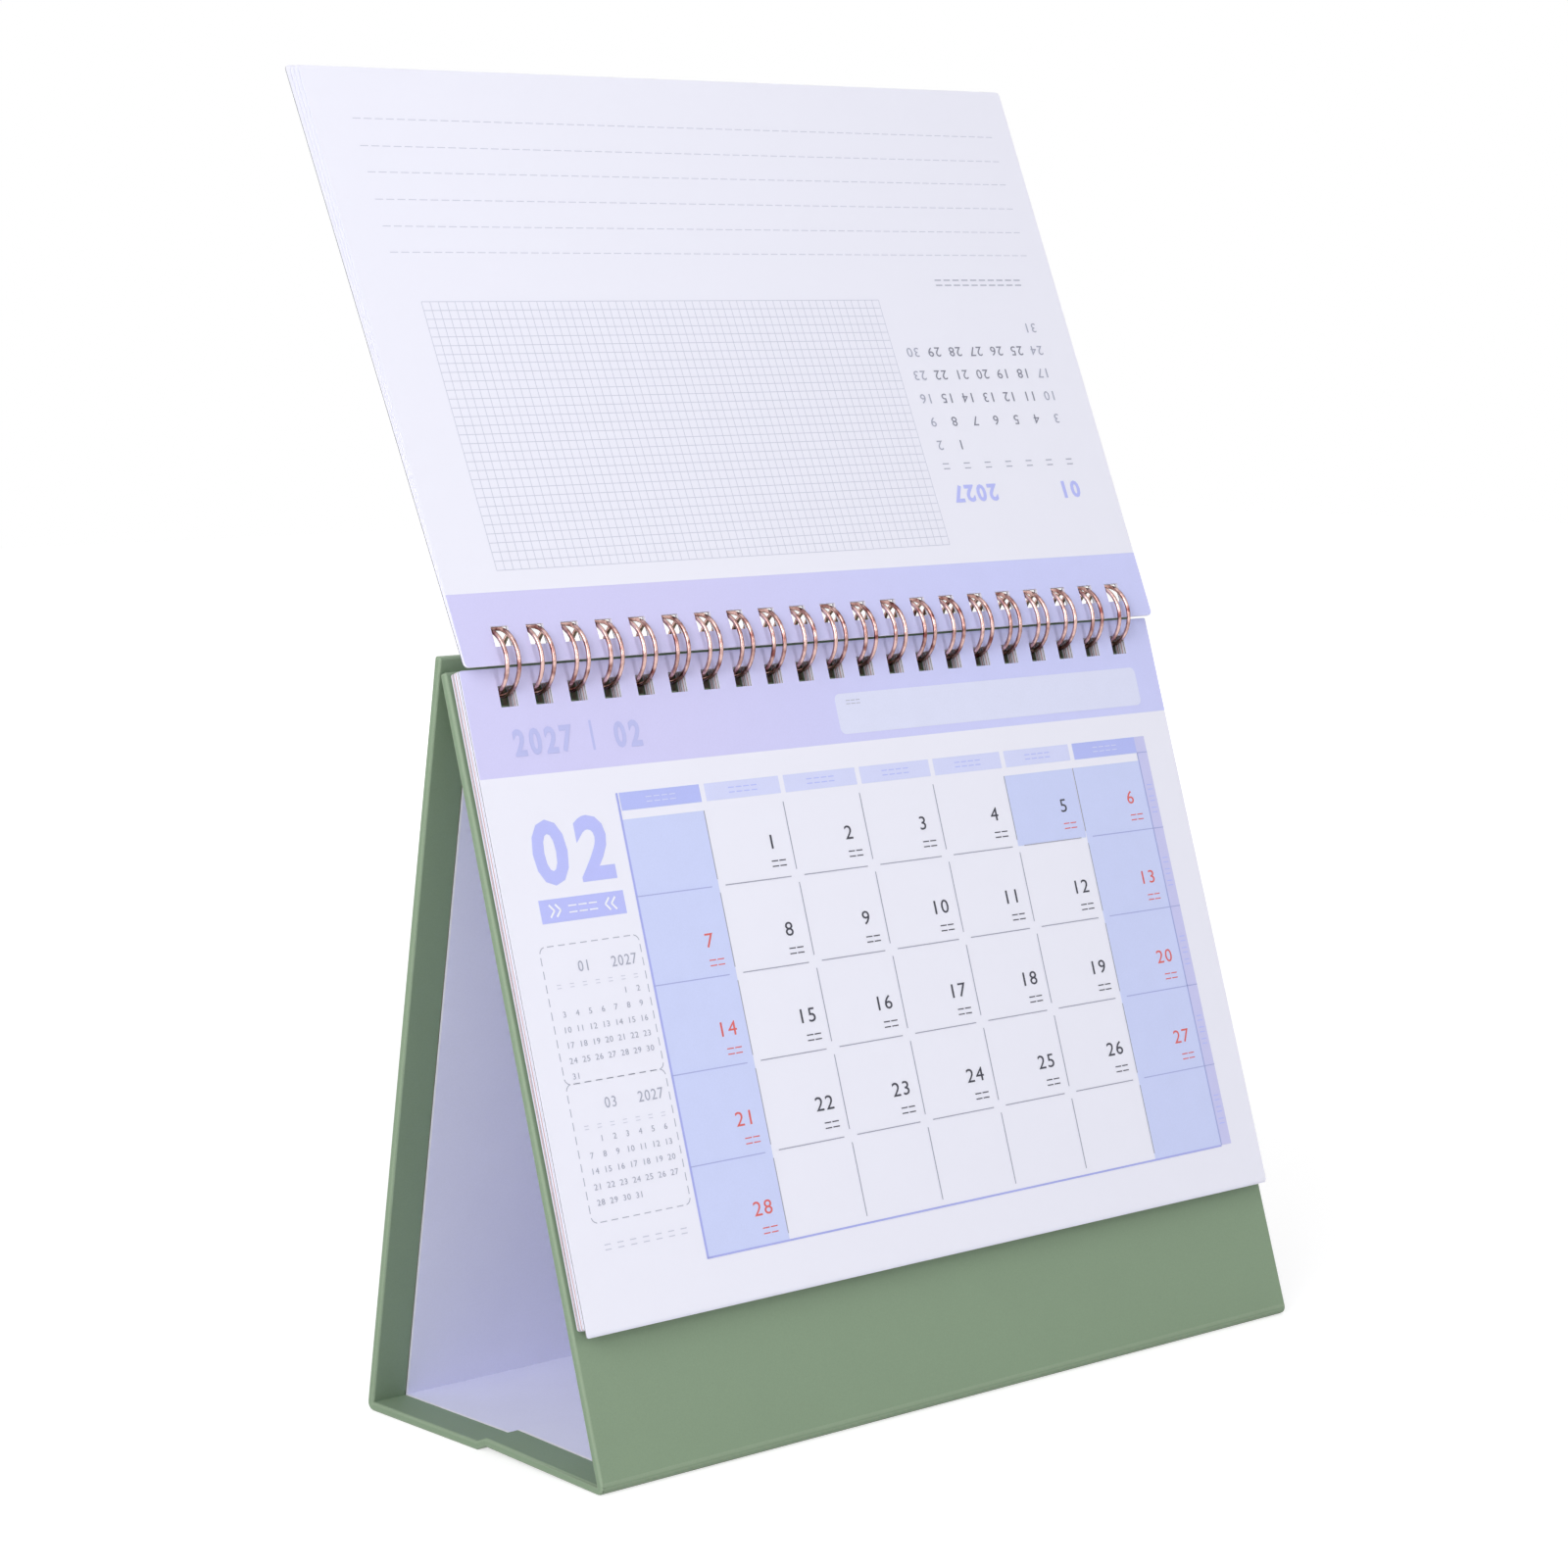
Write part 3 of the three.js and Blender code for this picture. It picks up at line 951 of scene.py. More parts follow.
@dataclass
class LeafStack:
    """A stack of single leaves with rounded corners, punched in one row and not quite square.

    lead says how far across and along the first leaves' outlines lie from square, and rest the others'.
    scatter is how far each leaf departs from that at random. margin is how far the bound edge stands
    beyond the solid's. The finishes of cut edges that aren't the paper's own are given by leaf: a pink tint,
    and grey or dark grey edges that are painted shade between and behind the sheets.
    """

    sizes: CalendarSizes
    name: str
    node: str
    body: str
    bound_edge: BoundEdge
    place_of: Callable[[float], LeafPlace]
    thickness: float
    sheets: int
    band_width: float
    rest: Span
    margin: float
    lead: tuple[Span, ...]
    tints: dict[int, PaperFinish]
    sheet_thickness: float = 0.19
    corner_radius: float = 1.0
    cell: float = 10.0
    scatter: Span = (0.15, 0.12)
    seed: int = 7

    def build(self) -> None:
        """Model one punched leaf, copy it down the stack and let each copy drift a little."""
        master = self.punched_leaf()
        draw = random.Random(self.seed)
        pitch = (self.thickness - self.sheet_thickness) / (self.sheets - 1)
        for index in range(self.sheets):
            leaf = stamped(master.data, f"{self.name}_{index + 1:02d}", Matrix.Identity(4))
            shift = self.lead[index] if index < len(self.lead) else self.rest
            self.drift(leaf, *(at + draw.uniform(-by, by) for at, by in zip(shift, self.scatter)))
            self.dress(leaf, index)
            self.place_of(index * pitch).settle(leaf)
            nodes = (self.node,) if index == 0 else ()
            finished(leaf, self.body, "leaf_paper", *nodes)
        bpy.data.objects.remove(master)

    def from_bound_edge(self, distance: float) -> float:
        """The height on the leaf at a distance from the edge that the wire holds."""
        return abs(self.sizes.leaf_height * self.bound_edge.value - distance)

    def punched_leaf(self) -> Piece:
        """One flat leaf with its front face at height zero, its corners rounded and its holes punched."""
        sizes = self.sizes
        leaf = sheet(
            around(0.0, sizes.leaf_width),
            (0.0, sizes.leaf_height),
            (0.0, -self.sheet_thickness),
            self.cell,
            self.corner_radius,
            (self.from_bound_edge(self.band_width),),
        )
        y = self.from_bound_edge(sizes.hole_margin + sizes.hole_size / 2)
        bpy.ops.object.select_all(action="DESELECT")
        bpy.ops.mesh.primitive_cube_add(size=sizes.hole_size, location=(0.0, y, 0.0))
        first = bpy.context.object
        apply_place(first)
        punch = row_of(first, sizes.loop_places(), self.name + "_punch")
        apply_modifier(leaf, "BOOLEAN", operation="DIFFERENCE", solver="EXACT", object=punch)
        bpy.data.objects.remove(punch)
        return leaf

    def drift(self, leaf: Piece, across: float, along: float) -> None:
        """Shift a leaf's sides and its ends a little, while its holes stay in line.

        Args:
            leaf: The flat leaf.
            across: How far its sides shift across.
            along: How far its free edge shifts up.
        """
        border = self.corner_radius + self.sheet_thickness
        side = self.sizes.leaf_width / 2 - border
        bound = self.sizes.leaf_height * self.bound_edge.value
        free = self.sizes.leaf_height - bound
        shifts = (
            (lambda vertex: abs(vertex.co.x) > side, (across, 0.0, 0.0)),
            (lambda vertex: abs(vertex.co.y - free) < border, (0.0, along, 0.0)),
            (lambda vertex: abs(vertex.co.y - bound) < border, (0.0, self.margin, 0.0)),
        )
        edit(leaf)
        for test, shift in shifts:
            select_where(leaf, Part.VERTICES, test)
            bpy.ops.transform.translate(value=shift)
        leave_edit()

    def dress(self, leaf: Piece, index: int) -> None:
        """Give a leaf its paper, its plain rear, its band on the top leaf and its cut edge, which on some
        leaves is painted shade.

        Args:
            leaf: The flat leaf.
            index: Its place in the stack.
        """
        leaf.data.materials.clear()
        # Some leaves' cut edges take a grey or dark grey finish that is painted shade between and behind the
        # sheets.
        edge = paper(self.tints.get(index, LEAF_PAPER))
        for material in (paper(LEAF_PAPER), paper(LEAF_REAR), Ink.BAND.material(), edge):
            leaf.data.materials.append(material)
        plain, rear, band, cut = range(4)
        band_edge = self.from_bound_edge(self.band_width)
        for polygon in leaf.data.polygons:
            in_band = (polygon.center.y > band_edge) == (self.bound_edge is BoundEdge.TOP)
            facing = polygon.normal.z
            polygon.material_index = band if in_band and index == 0 else plain
            if facing < 0.5:
                polygon.material_index = rear if facing < -0.5 else cut


# Print


@dataclass(frozen=True)
class Digits:
    """How a number is set.

    stretch is the width of a digit against its usual width, and spread the distance between digits
    against their stretched height. layer is how many other inks the number lies on.
    """

    height: float
    stretch: float
    spread: float = 0.82
    heavy: bool = False
    layer: int = 1


BAND_DIGITS = Digits(5.4, 0.82, spread=0.86, heavy=True)
BIG_DIGITS = Digits(13.0, 0.98, spread=0.84, heavy=True, layer=0)
HEADING_DIGITS = Digits(4.0, 1.05, heavy=True)
DAY_DIGITS = Digits(2.85, 1.15)
NOTES_DAY_DIGITS = Digits(2.2, 1.15)
SMALL_HEADING_DIGITS = Digits(2.1, 0.95)
SMALL_DAY_DIGITS = Digits(1.15, 1.1)


@dataclass(frozen=True)
class Marks:
    """How many small marks stand in a row, their size and the gap between them."""

    count: int
    size: float
    gap: float = 0.0


MEMO_MARKS = Marks(3, 1.1, 0.3)
WEEKDAY_MARKS = Marks(4, 1.5, 0.5)
STRIP_MARKS = Marks(1, 1.6)
DAY_MARKS = Marks(2, 1.7, 0.35)
BIG_BAR_MARKS = Marks(3, 2.0, 0.5)
FOOT_MARKS = Marks(7, 1.5, 1.6)
SMALL_WEEKDAY_MARKS = Marks(1, 1.0)
HEADING_MARKS = Marks(10, 1.9, 0.8)
NOTES_WEEKDAY_MARKS = Marks(1, 1.8)


def month_days(first_weekday: int, days: int) -> list[tuple[int, int, int]]:
    """Each day of a month with its row and its weekday, both from zero."""
    return [(day, *divmod(day - 1 + first_weekday, WEEK)) for day in range(1, days + 1)]


@dataclass
class PrintShop:
    """The shapes that the print is made of: a plate, and ten digits in two weights."""

    plate: bpy.types.Mesh
    light: dict[str, bpy.types.Mesh]
    heavy: dict[str, bpy.types.Mesh]

    @classmethod
    def open(cls) -> PrintShop:
        """Model the plate and the digits once."""
        bpy.ops.object.select_all(action="DESELECT")
        bpy.ops.mesh.primitive_cube_add(size=1.0)
        cube = bpy.context.object
        plate = cube.data.copy()
        bpy.data.objects.remove(cube)
        return cls(plate, light=cls.digits(0.0), heavy=cls.digits(0.035))

    @staticmethod
    def digits(weight: float) -> dict[str, bpy.types.Mesh]:
        """The ten digits as plates one unit high and one unit thick, centred on their origin.

        Args:
            weight: How far the outlines are thickened.

        Returns:
            The shapes by digit.
        """
        shapes = {}
        for digit in "0123456789":
            bpy.ops.object.select_all(action="DESELECT")
            bpy.ops.object.text_add()
            obj = bpy.context.object
            obj.data.body = digit
            obj.data.extrude = 0.5
            obj.data.offset = weight
            obj.data.resolution_u = 3
            make_active(obj)
            bpy.ops.object.convert(target="MESH")
            obj = bpy.context.object
            edit(obj)
            bpy.ops.mesh.remove_doubles(threshold=0.0005)
            leave_edit()
            xs = [vertex.co.x for vertex in obj.data.vertices]
            ys = [vertex.co.y for vertex in obj.data.vertices]
            height = max(ys) - min(ys)
            centre = Vector(((max(xs) + min(xs)) / 2, (max(ys) + min(ys)) / 2, 0.0))
            to_size = Matrix.Diagonal((1 / height, 1 / height, 1.0, 1.0))
            obj.data.transform(to_size @ Matrix.Translation(-centre))
            shapes[digit] = obj.data.copy()
            bpy.data.objects.remove(obj)
        return shapes


@dataclass
class Page:
    """The print on one leaf, gathered by ink and then laid on the leaf as one piece for each ink.

    mark_stroke and mark_rows are the width and the heights of a small mark's strokes against its size.
    """

    name: str
    place: LeafPlace
    body: str
    shop: PrintShop
    turned: bool = False
    thickness: float = 0.02
    clearance: float = 0.015
    field_cell: float = 8.0
    mark_stroke: float = 0.13
    mark_rows: Span = (-0.32, 0.32)
    inked: dict[Ink, list[Piece]] = field(default_factory=dict)

    def lay(self, ink: Ink, obj: Piece) -> None:
        """Give a shape its ink and keep it for the page."""
        obj.data.materials.clear()
        obj.data.materials.append(ink.material())
        self.inked.setdefault(ink, []).append(obj)

    def level(self, layer: int) -> float:
        """The height of the middle of a plate above the paper, by its layer."""
        return self.clearance + self.thickness / 2 + layer * (self.thickness + self.clearance)

    def bar(self, ink: Ink, x: Span, y: Span, layer: int = 0, turn: float = 0.0) -> None:
        """Lay a plain rectangle of ink.

        Args:
            ink: Its ink.
            x: Its left and right sides.
            y: Its lower and upper sides.
            layer: How many other inks it lies on.
            turn: How far it is turned about its middle.
        """
        middle = Matrix.Translation(((x[0] + x[1]) / 2, (y[0] + y[1]) / 2, self.level(layer)))
        size = Matrix.Diagonal((x[1] - x[0], y[1] - y[0], self.thickness, 1.0))
        self.lay(ink, stamped(self.shop.plate, self.name, middle @ Matrix.Rotation(turn, 4, "Z") @ size))

    def field(self, ink: Ink, x: Span, y: Span, radius: float = 0.0) -> None:
        """Lay a large field of ink, in cells that can follow a leaf's twist.

        Args:
            ink: Its ink.
            x: Its left and right sides.
            y: Its lower and upper sides.
            radius: The radius of its corners.
        """
        self.lay(ink, sheet(x, y, around(self.level(0), self.thickness), self.field_cell, radius))

    def dashes(self, ink: Ink, start: Vector, end: Vector, dash: float, pitch: float, width: float) -> None:
        """Lay a dashed line.

        Args:
            ink: Its ink.
            start: Where it starts.
            end: Where it ends.
            dash: The length of a dash.
            pitch: The distance from one dash to the next.
            width: The line's width.
        """
        run = end - start
        count = max(1, round(run.length / pitch))
        turn = math.atan2(run.y, run.x)
        for index in range(count):
            middle = start + run * ((index + 0.5) / count)
            self.bar(ink, around(middle.x, dash), around(middle.y, width), 0, turn)

    def number(self, ink: Ink, text: str, spot: Span, style: Digits) -> None:
        """Lay a plain number.

        Args:
            ink: Its ink.
            text: Its digits.
            spot: Its middle, across and up the leaf.
            style: How it is set.
        """
        shapes = self.shop.heavy if style.heavy else self.shop.light
        place = Matrix.Translation((*spot, self.level(style.layer)))
        if self.turned:
            place = place @ Matrix.Rotation(math.pi, 4, "Z")
        width = style.height * style.stretch
        size = Matrix.Diagonal((width, style.height, self.thickness, 1.0))
        for index, digit in enumerate(text):
            offset = (index - (len(text) - 1) / 2) * width * style.spread
            digit_place = place @ Matrix.Translation((offset, 0.0, 0.0)) @ size
            self.lay(ink, stamped(shapes[digit], self.name, digit_place))

    def marks(self, ink: Ink, spot: Span, row: Marks) -> None:
        """Lay a row of small two-stroke marks, which stand where the real page has small words.

        Args:
            ink: Their ink.
            spot: The row's middle, across and up the leaf.
            row: How many there are, their size and their gap.
        """
        stroke = row.size * self.mark_stroke
        for index in range(row.count):
            middle = spot[0] + (index - (row.count - 1) / 2) * (row.size + row.gap)
            for share in self.mark_rows:
                y = around(spot[1] + share * row.size, stroke)
                self.bar(ink, around(middle, row.size), y, 1)

    def finish(self) -> None:
        """Join the shapes of each ink, lay them on the leaf and let them ride with it."""
        for ink, shapes in self.inked.items():
            piece = joined(shapes, f"{self.name}_{ink.name.lower()}_print")
            self.place.settle(piece)
            finished(piece, self.body, "leaf_paper")


@dataclass
class MonthPage:
    """The month that shows on the front leaves: a calendar grid, a big number and two small months.

    Places are in millimetres, across from the middle of the leaf and up from its lower edge.
    """

    sizes: CalendarSizes
    shop: PrintShop
    year_spot: Span = (-78.4, 113.4)
    month_spot: Span = (-57.6, 113.2)
    divider: tuple[Span, Span] = ((-66.7, -66.1), (110.6, 116.6))
    memo_box: tuple[Span, Span] = ((-2.0, 88.0), (108.7, 117.3))
    memo_corner: float = 1.4
    memo_marks: Span = (2.9, 115.4)
    left: float = -63.3
    column: float = 20.93
    frame_right: float = 86.4
    strip_left: float = 83.2
    strip_mark_x: float = 84.9
    strip_mark_lifts: tuple[float, ...] = (-3.6, -1.0, 1.6)
    bars: Span = (98.0, 101.6)
    first_bar_gap: float = 0.6
    bar_gap: float = 1.3
    row_tops: tuple[float, ...] = (96.2, 80.8, 63.0, 45.2, 27.2, 9.5)
    crossing: Span = (1.75, 1.35)
    rule: float = 0.2
    frame_rule: float = 0.5
    first_weekday: int = 1
    days: int = 28
    red_marked_day: int = 5
    day_x: float = 15.8
    day_drop: float = 1.6
    first_row_y: float = 88.3
    day_marks: Span = (0.9, -4.5)
    big_spot: Span = (-76.6, 91.5)
    big_bar: tuple[Span, Span] = ((-87.0, -66.4), (77.9, 82.5))
    big_bar_middle: Span = (-76.7, 80.2)
    chevrons: Span = (6.0, 7.5)
    chevron_stroke: Span = (1.7, 0.4)
    chevron_rise: float = 0.6
    chevron_turn: float = math.radians(48.0)
    foot_marks: Span = (-77.1, 15.5)

    def build(self) -> None:
        """Lay all the print of the page."""
        page = Page("month_page", self.sizes.front_leaf_place(), STAND_BODY, self.shop)
        self.title(page)
        self.weekdays(page)
        self.fields(page)
        self.rules(page)
        self.day_numbers(page)
        self.big_number(page)
        page.marks(Ink.GRAPH, self.foot_marks, FOOT_MARKS)
        SmallMonth(page, number="01", top=73.5, row_top=63.2, first_weekday=5).lay()
        SmallMonth(page, number="03", top=46.9, row_top=35.9, first_weekday=1).lay()
        page.finish()

    def column_left(self, column: int) -> float:
        """Where a column starts."""
        return self.left + column * self.column

    def title(self, page: Page) -> None:
        """The year and month on the band, with the pale box for notes."""
        page.number(Ink.TITLE, "2027", self.year_spot, BAND_DIGITS)
        page.bar(Ink.TITLE, *self.divider)
        page.number(Ink.TITLE, "02", self.month_spot, BAND_DIGITS)
        page.field(Ink.BOX, *self.memo_box, self.memo_corner)
        page.marks(Ink.FAINT, self.memo_marks, MEMO_MARKS)

    def weekdays(self, page: Page) -> None:
        """The bars over the columns, darker over the weekend."""
        for column in range(WEEK):
            inks = (Ink.WEEKDAY, Ink.WEEKEND_DAY)
            ink, mark_ink = inks[::-1] if column in (0, WEEK - 1) else inks
            left = self.column_left(column) + (self.bar_gap if column else self.first_bar_gap)
            right = self.column_left(column + 1)
            page.bar(ink, (left, right), self.bars)
            page.marks(mark_ink, ((left + right) / 2, sum(self.bars) / 2), WEEKDAY_MARKS)

    def fields(self, page: Page) -> None:
        """The tinted fields of the weekend and of the Friday in the first row."""
        high, low = self.row_tops[0], self.row_tops[-1]
        friday, saturday = self.column_left(5), self.column_left(6)
        page.field(Ink.WEEKEND, (self.left, self.column_left(1)), (low, high))
        page.field(Ink.WEEKEND, (saturday, self.strip_left), (low, high))
        page.field(Ink.WEEKEND, (friday, saturday - self.rule), (self.row_tops[1], high))
        page.field(Ink.STRIP, (self.strip_left, self.frame_right), (low, self.bars[1]))
        for high, low in zip(self.row_tops, self.row_tops[1:]):
            for lift in self.strip_mark_lifts:
                page.marks(Ink.WEEKEND_DAY, (self.strip_mark_x, (high + low) / 2 + lift), STRIP_MARKS)

    def rules(self, page: Page) -> None:
        """The thin rules, which stop short of their crossings, and the frame on three sides."""
        short_x, short_y = self.crossing
        for top in self.row_tops[1:-1]:
            for column in range(WEEK):
                last = column == WEEK - 1
                left = self.column_left(column) + (short_x if column else 0.0)
                right = self.frame_right if last else self.column_left(column + 1) - short_x
                ink = Ink.FIELD_RULE if column == 0 or last else Ink.RULE
                page.bar(ink, (left, right), around(top, self.rule), 1)
        for row, (high, low) in enumerate(zip(self.row_tops, self.row_tops[1:])):
            for column in range(1, WEEK):
                x = around(self.column_left(column), self.rule)
                page.bar(Ink.RULE, x, (low + short_y, high - (short_y if row else 0.0)), 1)
        half, strong = self.rule / 2, self.frame_rule / 2
        low = self.row_tops[-1]
        bars_low, bars_high = self.bars
        page.bar(Ink.FRAME, around(self.left, self.frame_rule), (low - strong, bars_high), 1)
        page.bar(Ink.FRAME, (self.left, self.strip_left), (low - strong, low + strong / 2), 1)
        page.bar(Ink.FIELD_RULE, (self.strip_left - half, self.strip_left + self.rule), (low, bars_low), 1)
        page.bar(Ink.FIELD_RULE, (self.strip_left, self.frame_right), around(bars_low, self.rule), 1)

    def day_numbers(self, page: Page) -> None:
        """The numbers of the days, with small marks under each."""
        middles = [(high + low) / 2 for high, low in zip(self.row_tops, self.row_tops[1:])]
        for day, row, column in month_days(self.first_weekday, self.days):
            ink = Ink.HOLIDAY if column in (0, WEEK - 1) else Ink.DAY
            x = self.column_left(column) + self.day_x
            y = middles[row] - self.day_drop if row else self.first_row_y
            page.number(ink, str(day), (x, y), DAY_DIGITS)
            mark_ink = Ink.HOLIDAY if day == self.red_marked_day else ink
            page.marks(mark_ink, (x + self.day_marks[0], y + self.day_marks[1]), DAY_MARKS)

    def big_number(self, page: Page) -> None:
        """The big number of the month over its short bar with chevrons."""
        page.number(Ink.HEADING, "02", self.big_spot, BIG_DIGITS)
        page.bar(Ink.HEADING, *self.big_bar)
        across, up = self.big_bar_middle
        length, width = self.chevron_stroke
        for side in (-1, 1):
            for distance in self.chevrons:
                for lean in (-1, 1):
                    x = around(across + side * distance, length)
                    y = around(up + lean * self.chevron_rise, width)
                    page.bar(Ink.WHITE, x, y, 1, lean * side * self.chevron_turn)
        page.marks(Ink.WHITE, self.big_bar_middle, BIG_BAR_MARKS)


@dataclass
class SmallMonth:
    """A small month of 31 days in a dashed box."""

    page: Page
    number: str
    top: float
    row_top: float
    first_weekday: int
    days: int = 31
    left: float = -89.0
    right: float = -64.8
    height: float = 26.6
    corner: float = 1.4
    number_x: float = -79.2
    year_x: float = -69.4
    heading_drop: float = 4.5
    weekday_rise: float = 2.4
    first_column: float = -86.0
    column: float = 3.12
    row: float = 2.98
    line: float = 0.18
    dash: float = 1.6
    dash_pitch: float = 2.66
    corner_dash_length: float = 0.6

    def lay(self) -> None:
        """Lay the box, its heading, its weekday marks and its numbers."""
        page, low = self.page, self.top - self.height
        outline = ((self.left, self.top), (self.right, self.top), (self.right, low), (self.left, low))
        corners = [Vector(corner) for corner in outline]
        for start, end in zip(corners, corners[1:] + corners[:1]):
            inset = (end - start).normalized() * self.corner
            page.dashes(Ink.FAINT, start + inset, end - inset, self.dash, self.dash_pitch, self.line)
            self.corner_dash(start, inset)
        for text, x in ((self.number, self.number_x), ("2027", self.year_x)):
            page.number(Ink.FAINT, text, (x, self.top - self.heading_drop), SMALL_HEADING_DIGITS)
        for weekday in range(WEEK):
            x = self.first_column + weekday * self.column
            page.marks(Ink.GRAPH, (x, self.row_top + self.weekday_rise), SMALL_WEEKDAY_MARKS)
        for day, row, weekday in month_days(self.first_weekday, self.days):
            x = self.first_column + weekday * self.column
            page.number(Ink.FAINT, str(day), (x, self.row_top - row * self.row), SMALL_DAY_DIGITS)

    def corner_dash(self, corner: Vector, inset: Vector) -> None:
        """Round one corner of the box with three short strokes.

        Args:
            corner: The sharp corner.
            inset: The way to the end of the rounding along the side that starts there.
        """
        centre = corner + inset + Vector((inset.y, -inset.x))
        first = math.atan2(-inset.y, -inset.x)
        for step in (1, 2, 3):
            angle = first - step * math.pi / 8
            middle = centre + Vector((math.cos(angle), math.sin(angle))) * self.corner
            x, y = around(middle.x, self.corner_dash_length), around(middle.y, self.line)
            self.page.bar(Ink.FAINT, x, y, 0, angle + math.pi / 2)


@dataclass
class NotesPage:
    """The rear of the month before, upside down on the raised leaf: graph paper, notes and a month."""

    sizes: CalendarSizes
    shop: PrintShop
    graph_x: Span = (-81.5, 39.5)
    graph_y: Span = (18.8, 76.2)
    graph_columns: int = 60
    graph_rows: int = 30
    graph_line: float = 0.14
    note_x: Span = (-86.0, 89.0)
    note_lines: tuple[float, ...] = (87.0, 92.7, 98.6, 104.6, 110.4, 116.5)
    note_line: float = 0.16
    note_dash: float = 1.9
    note_pitch: float = 2.66
    month_spot: Span = (80.6, 30.2)
    year_spot: Span = (51.6, 30.3)
    heading_marks: Span = (71.0, 80.3)
    weekday_y: float = 36.8
    first_column: float = 83.0
    column: float = 6.3
    first_row: float = 41.7
    row: float = 5.5
    first_weekday: int = 5
    days: int = 31

    def build(self) -> None:
        """Lay all the print of the page."""
        page = Page("notes_page", self.sizes.raised_leaf_place(), TURNED_BODY, self.shop, turned=True)
        self.graph(page)
        for y in self.note_lines:
            start, end = (Vector((x, y)) for x in self.note_x)
            page.dashes(Ink.GRAPH, start, end, self.note_dash, self.note_pitch, self.note_line)
        self.month(page)
        page.finish()

    def graph(self, page: Page) -> None:
        """The graph paper's thin lines."""
        left, right = self.graph_x
        low, high = self.graph_y
        for index in range(self.graph_columns + 1):
            x = left + (right - left) * index / self.graph_columns
            page.bar(Ink.GRAPH, around(x, self.graph_line), self.graph_y)
        for index in range(self.graph_rows + 1):
            y = low + (high - low) * index / self.graph_rows
            page.bar(Ink.GRAPH, self.graph_x, around(y, self.graph_line))

    def month(self, page: Page) -> None:
        """The heading numbers, the weekday marks and the days."""
        page.number(Ink.HEADING, "01", self.month_spot, HEADING_DIGITS)
        page.number(Ink.HEADING, "2027", self.year_spot, HEADING_DIGITS)
        page.marks(Ink.FAINT, self.heading_marks, HEADING_MARKS)
        for weekday in range(WEEK):
            spot = (self.first_column - weekday * self.column, self.weekday_y)
            page.marks(Ink.FAINT, spot, NOTES_WEEKDAY_MARKS)
        for day, row, weekday in month_days(self.first_weekday, self.days):
            ink = Ink.FAINT if weekday in (0, WEEK - 1) else Ink.GREY_DAY
            spot = (self.first_column - weekday * self.column, self.first_row + row * self.row)
            page.number(ink, str(day), spot, NOTES_DAY_DIGITS)


# Studio


@dataclass(frozen=True)
class SoftLamp:
    """A rectangular soft lamp that faces the calendar, in metres and watts."""

    name: str
    position: Point
    size: Span
    power: float
    aim: Point = (0.0, 0.0, 0.13)

    def build(self) -> None:
        """Hang the lamp."""
        data = bpy.data.lights.new(self.name, "AREA")
        data.shape = "RECTANGLE"
        data.size, data.size_y = self.size
        data.energy = self.power
        lamp = bpy.data.objects.new(self.name, data)
        bpy.context.scene.collection.objects.link(lamp)
        lamp.location = self.position
        lamp.rotation_mode = "QUATERNION"
        lamp.rotation_quaternion = (Vector(self.aim) - lamp.location).to_track_quat("-Z", "Y")


LAMPS = (
    SoftLamp("key_lamp", (0.1, -1.4, 0.7), (0.16, 1.1), 3.9),
    SoftLamp("side_lamp", (-1.1, -0.5, 0.45), (0.7, 0.7), 5.2),
    SoftLamp("high_lamp", (-0.9, -0.3, 0.95), (0.7, 0.7), 5.0),
    SoftLamp("rear_lamp", (0.7, 1.3, 0.7), (0.8, 0.8), 7.0),
)


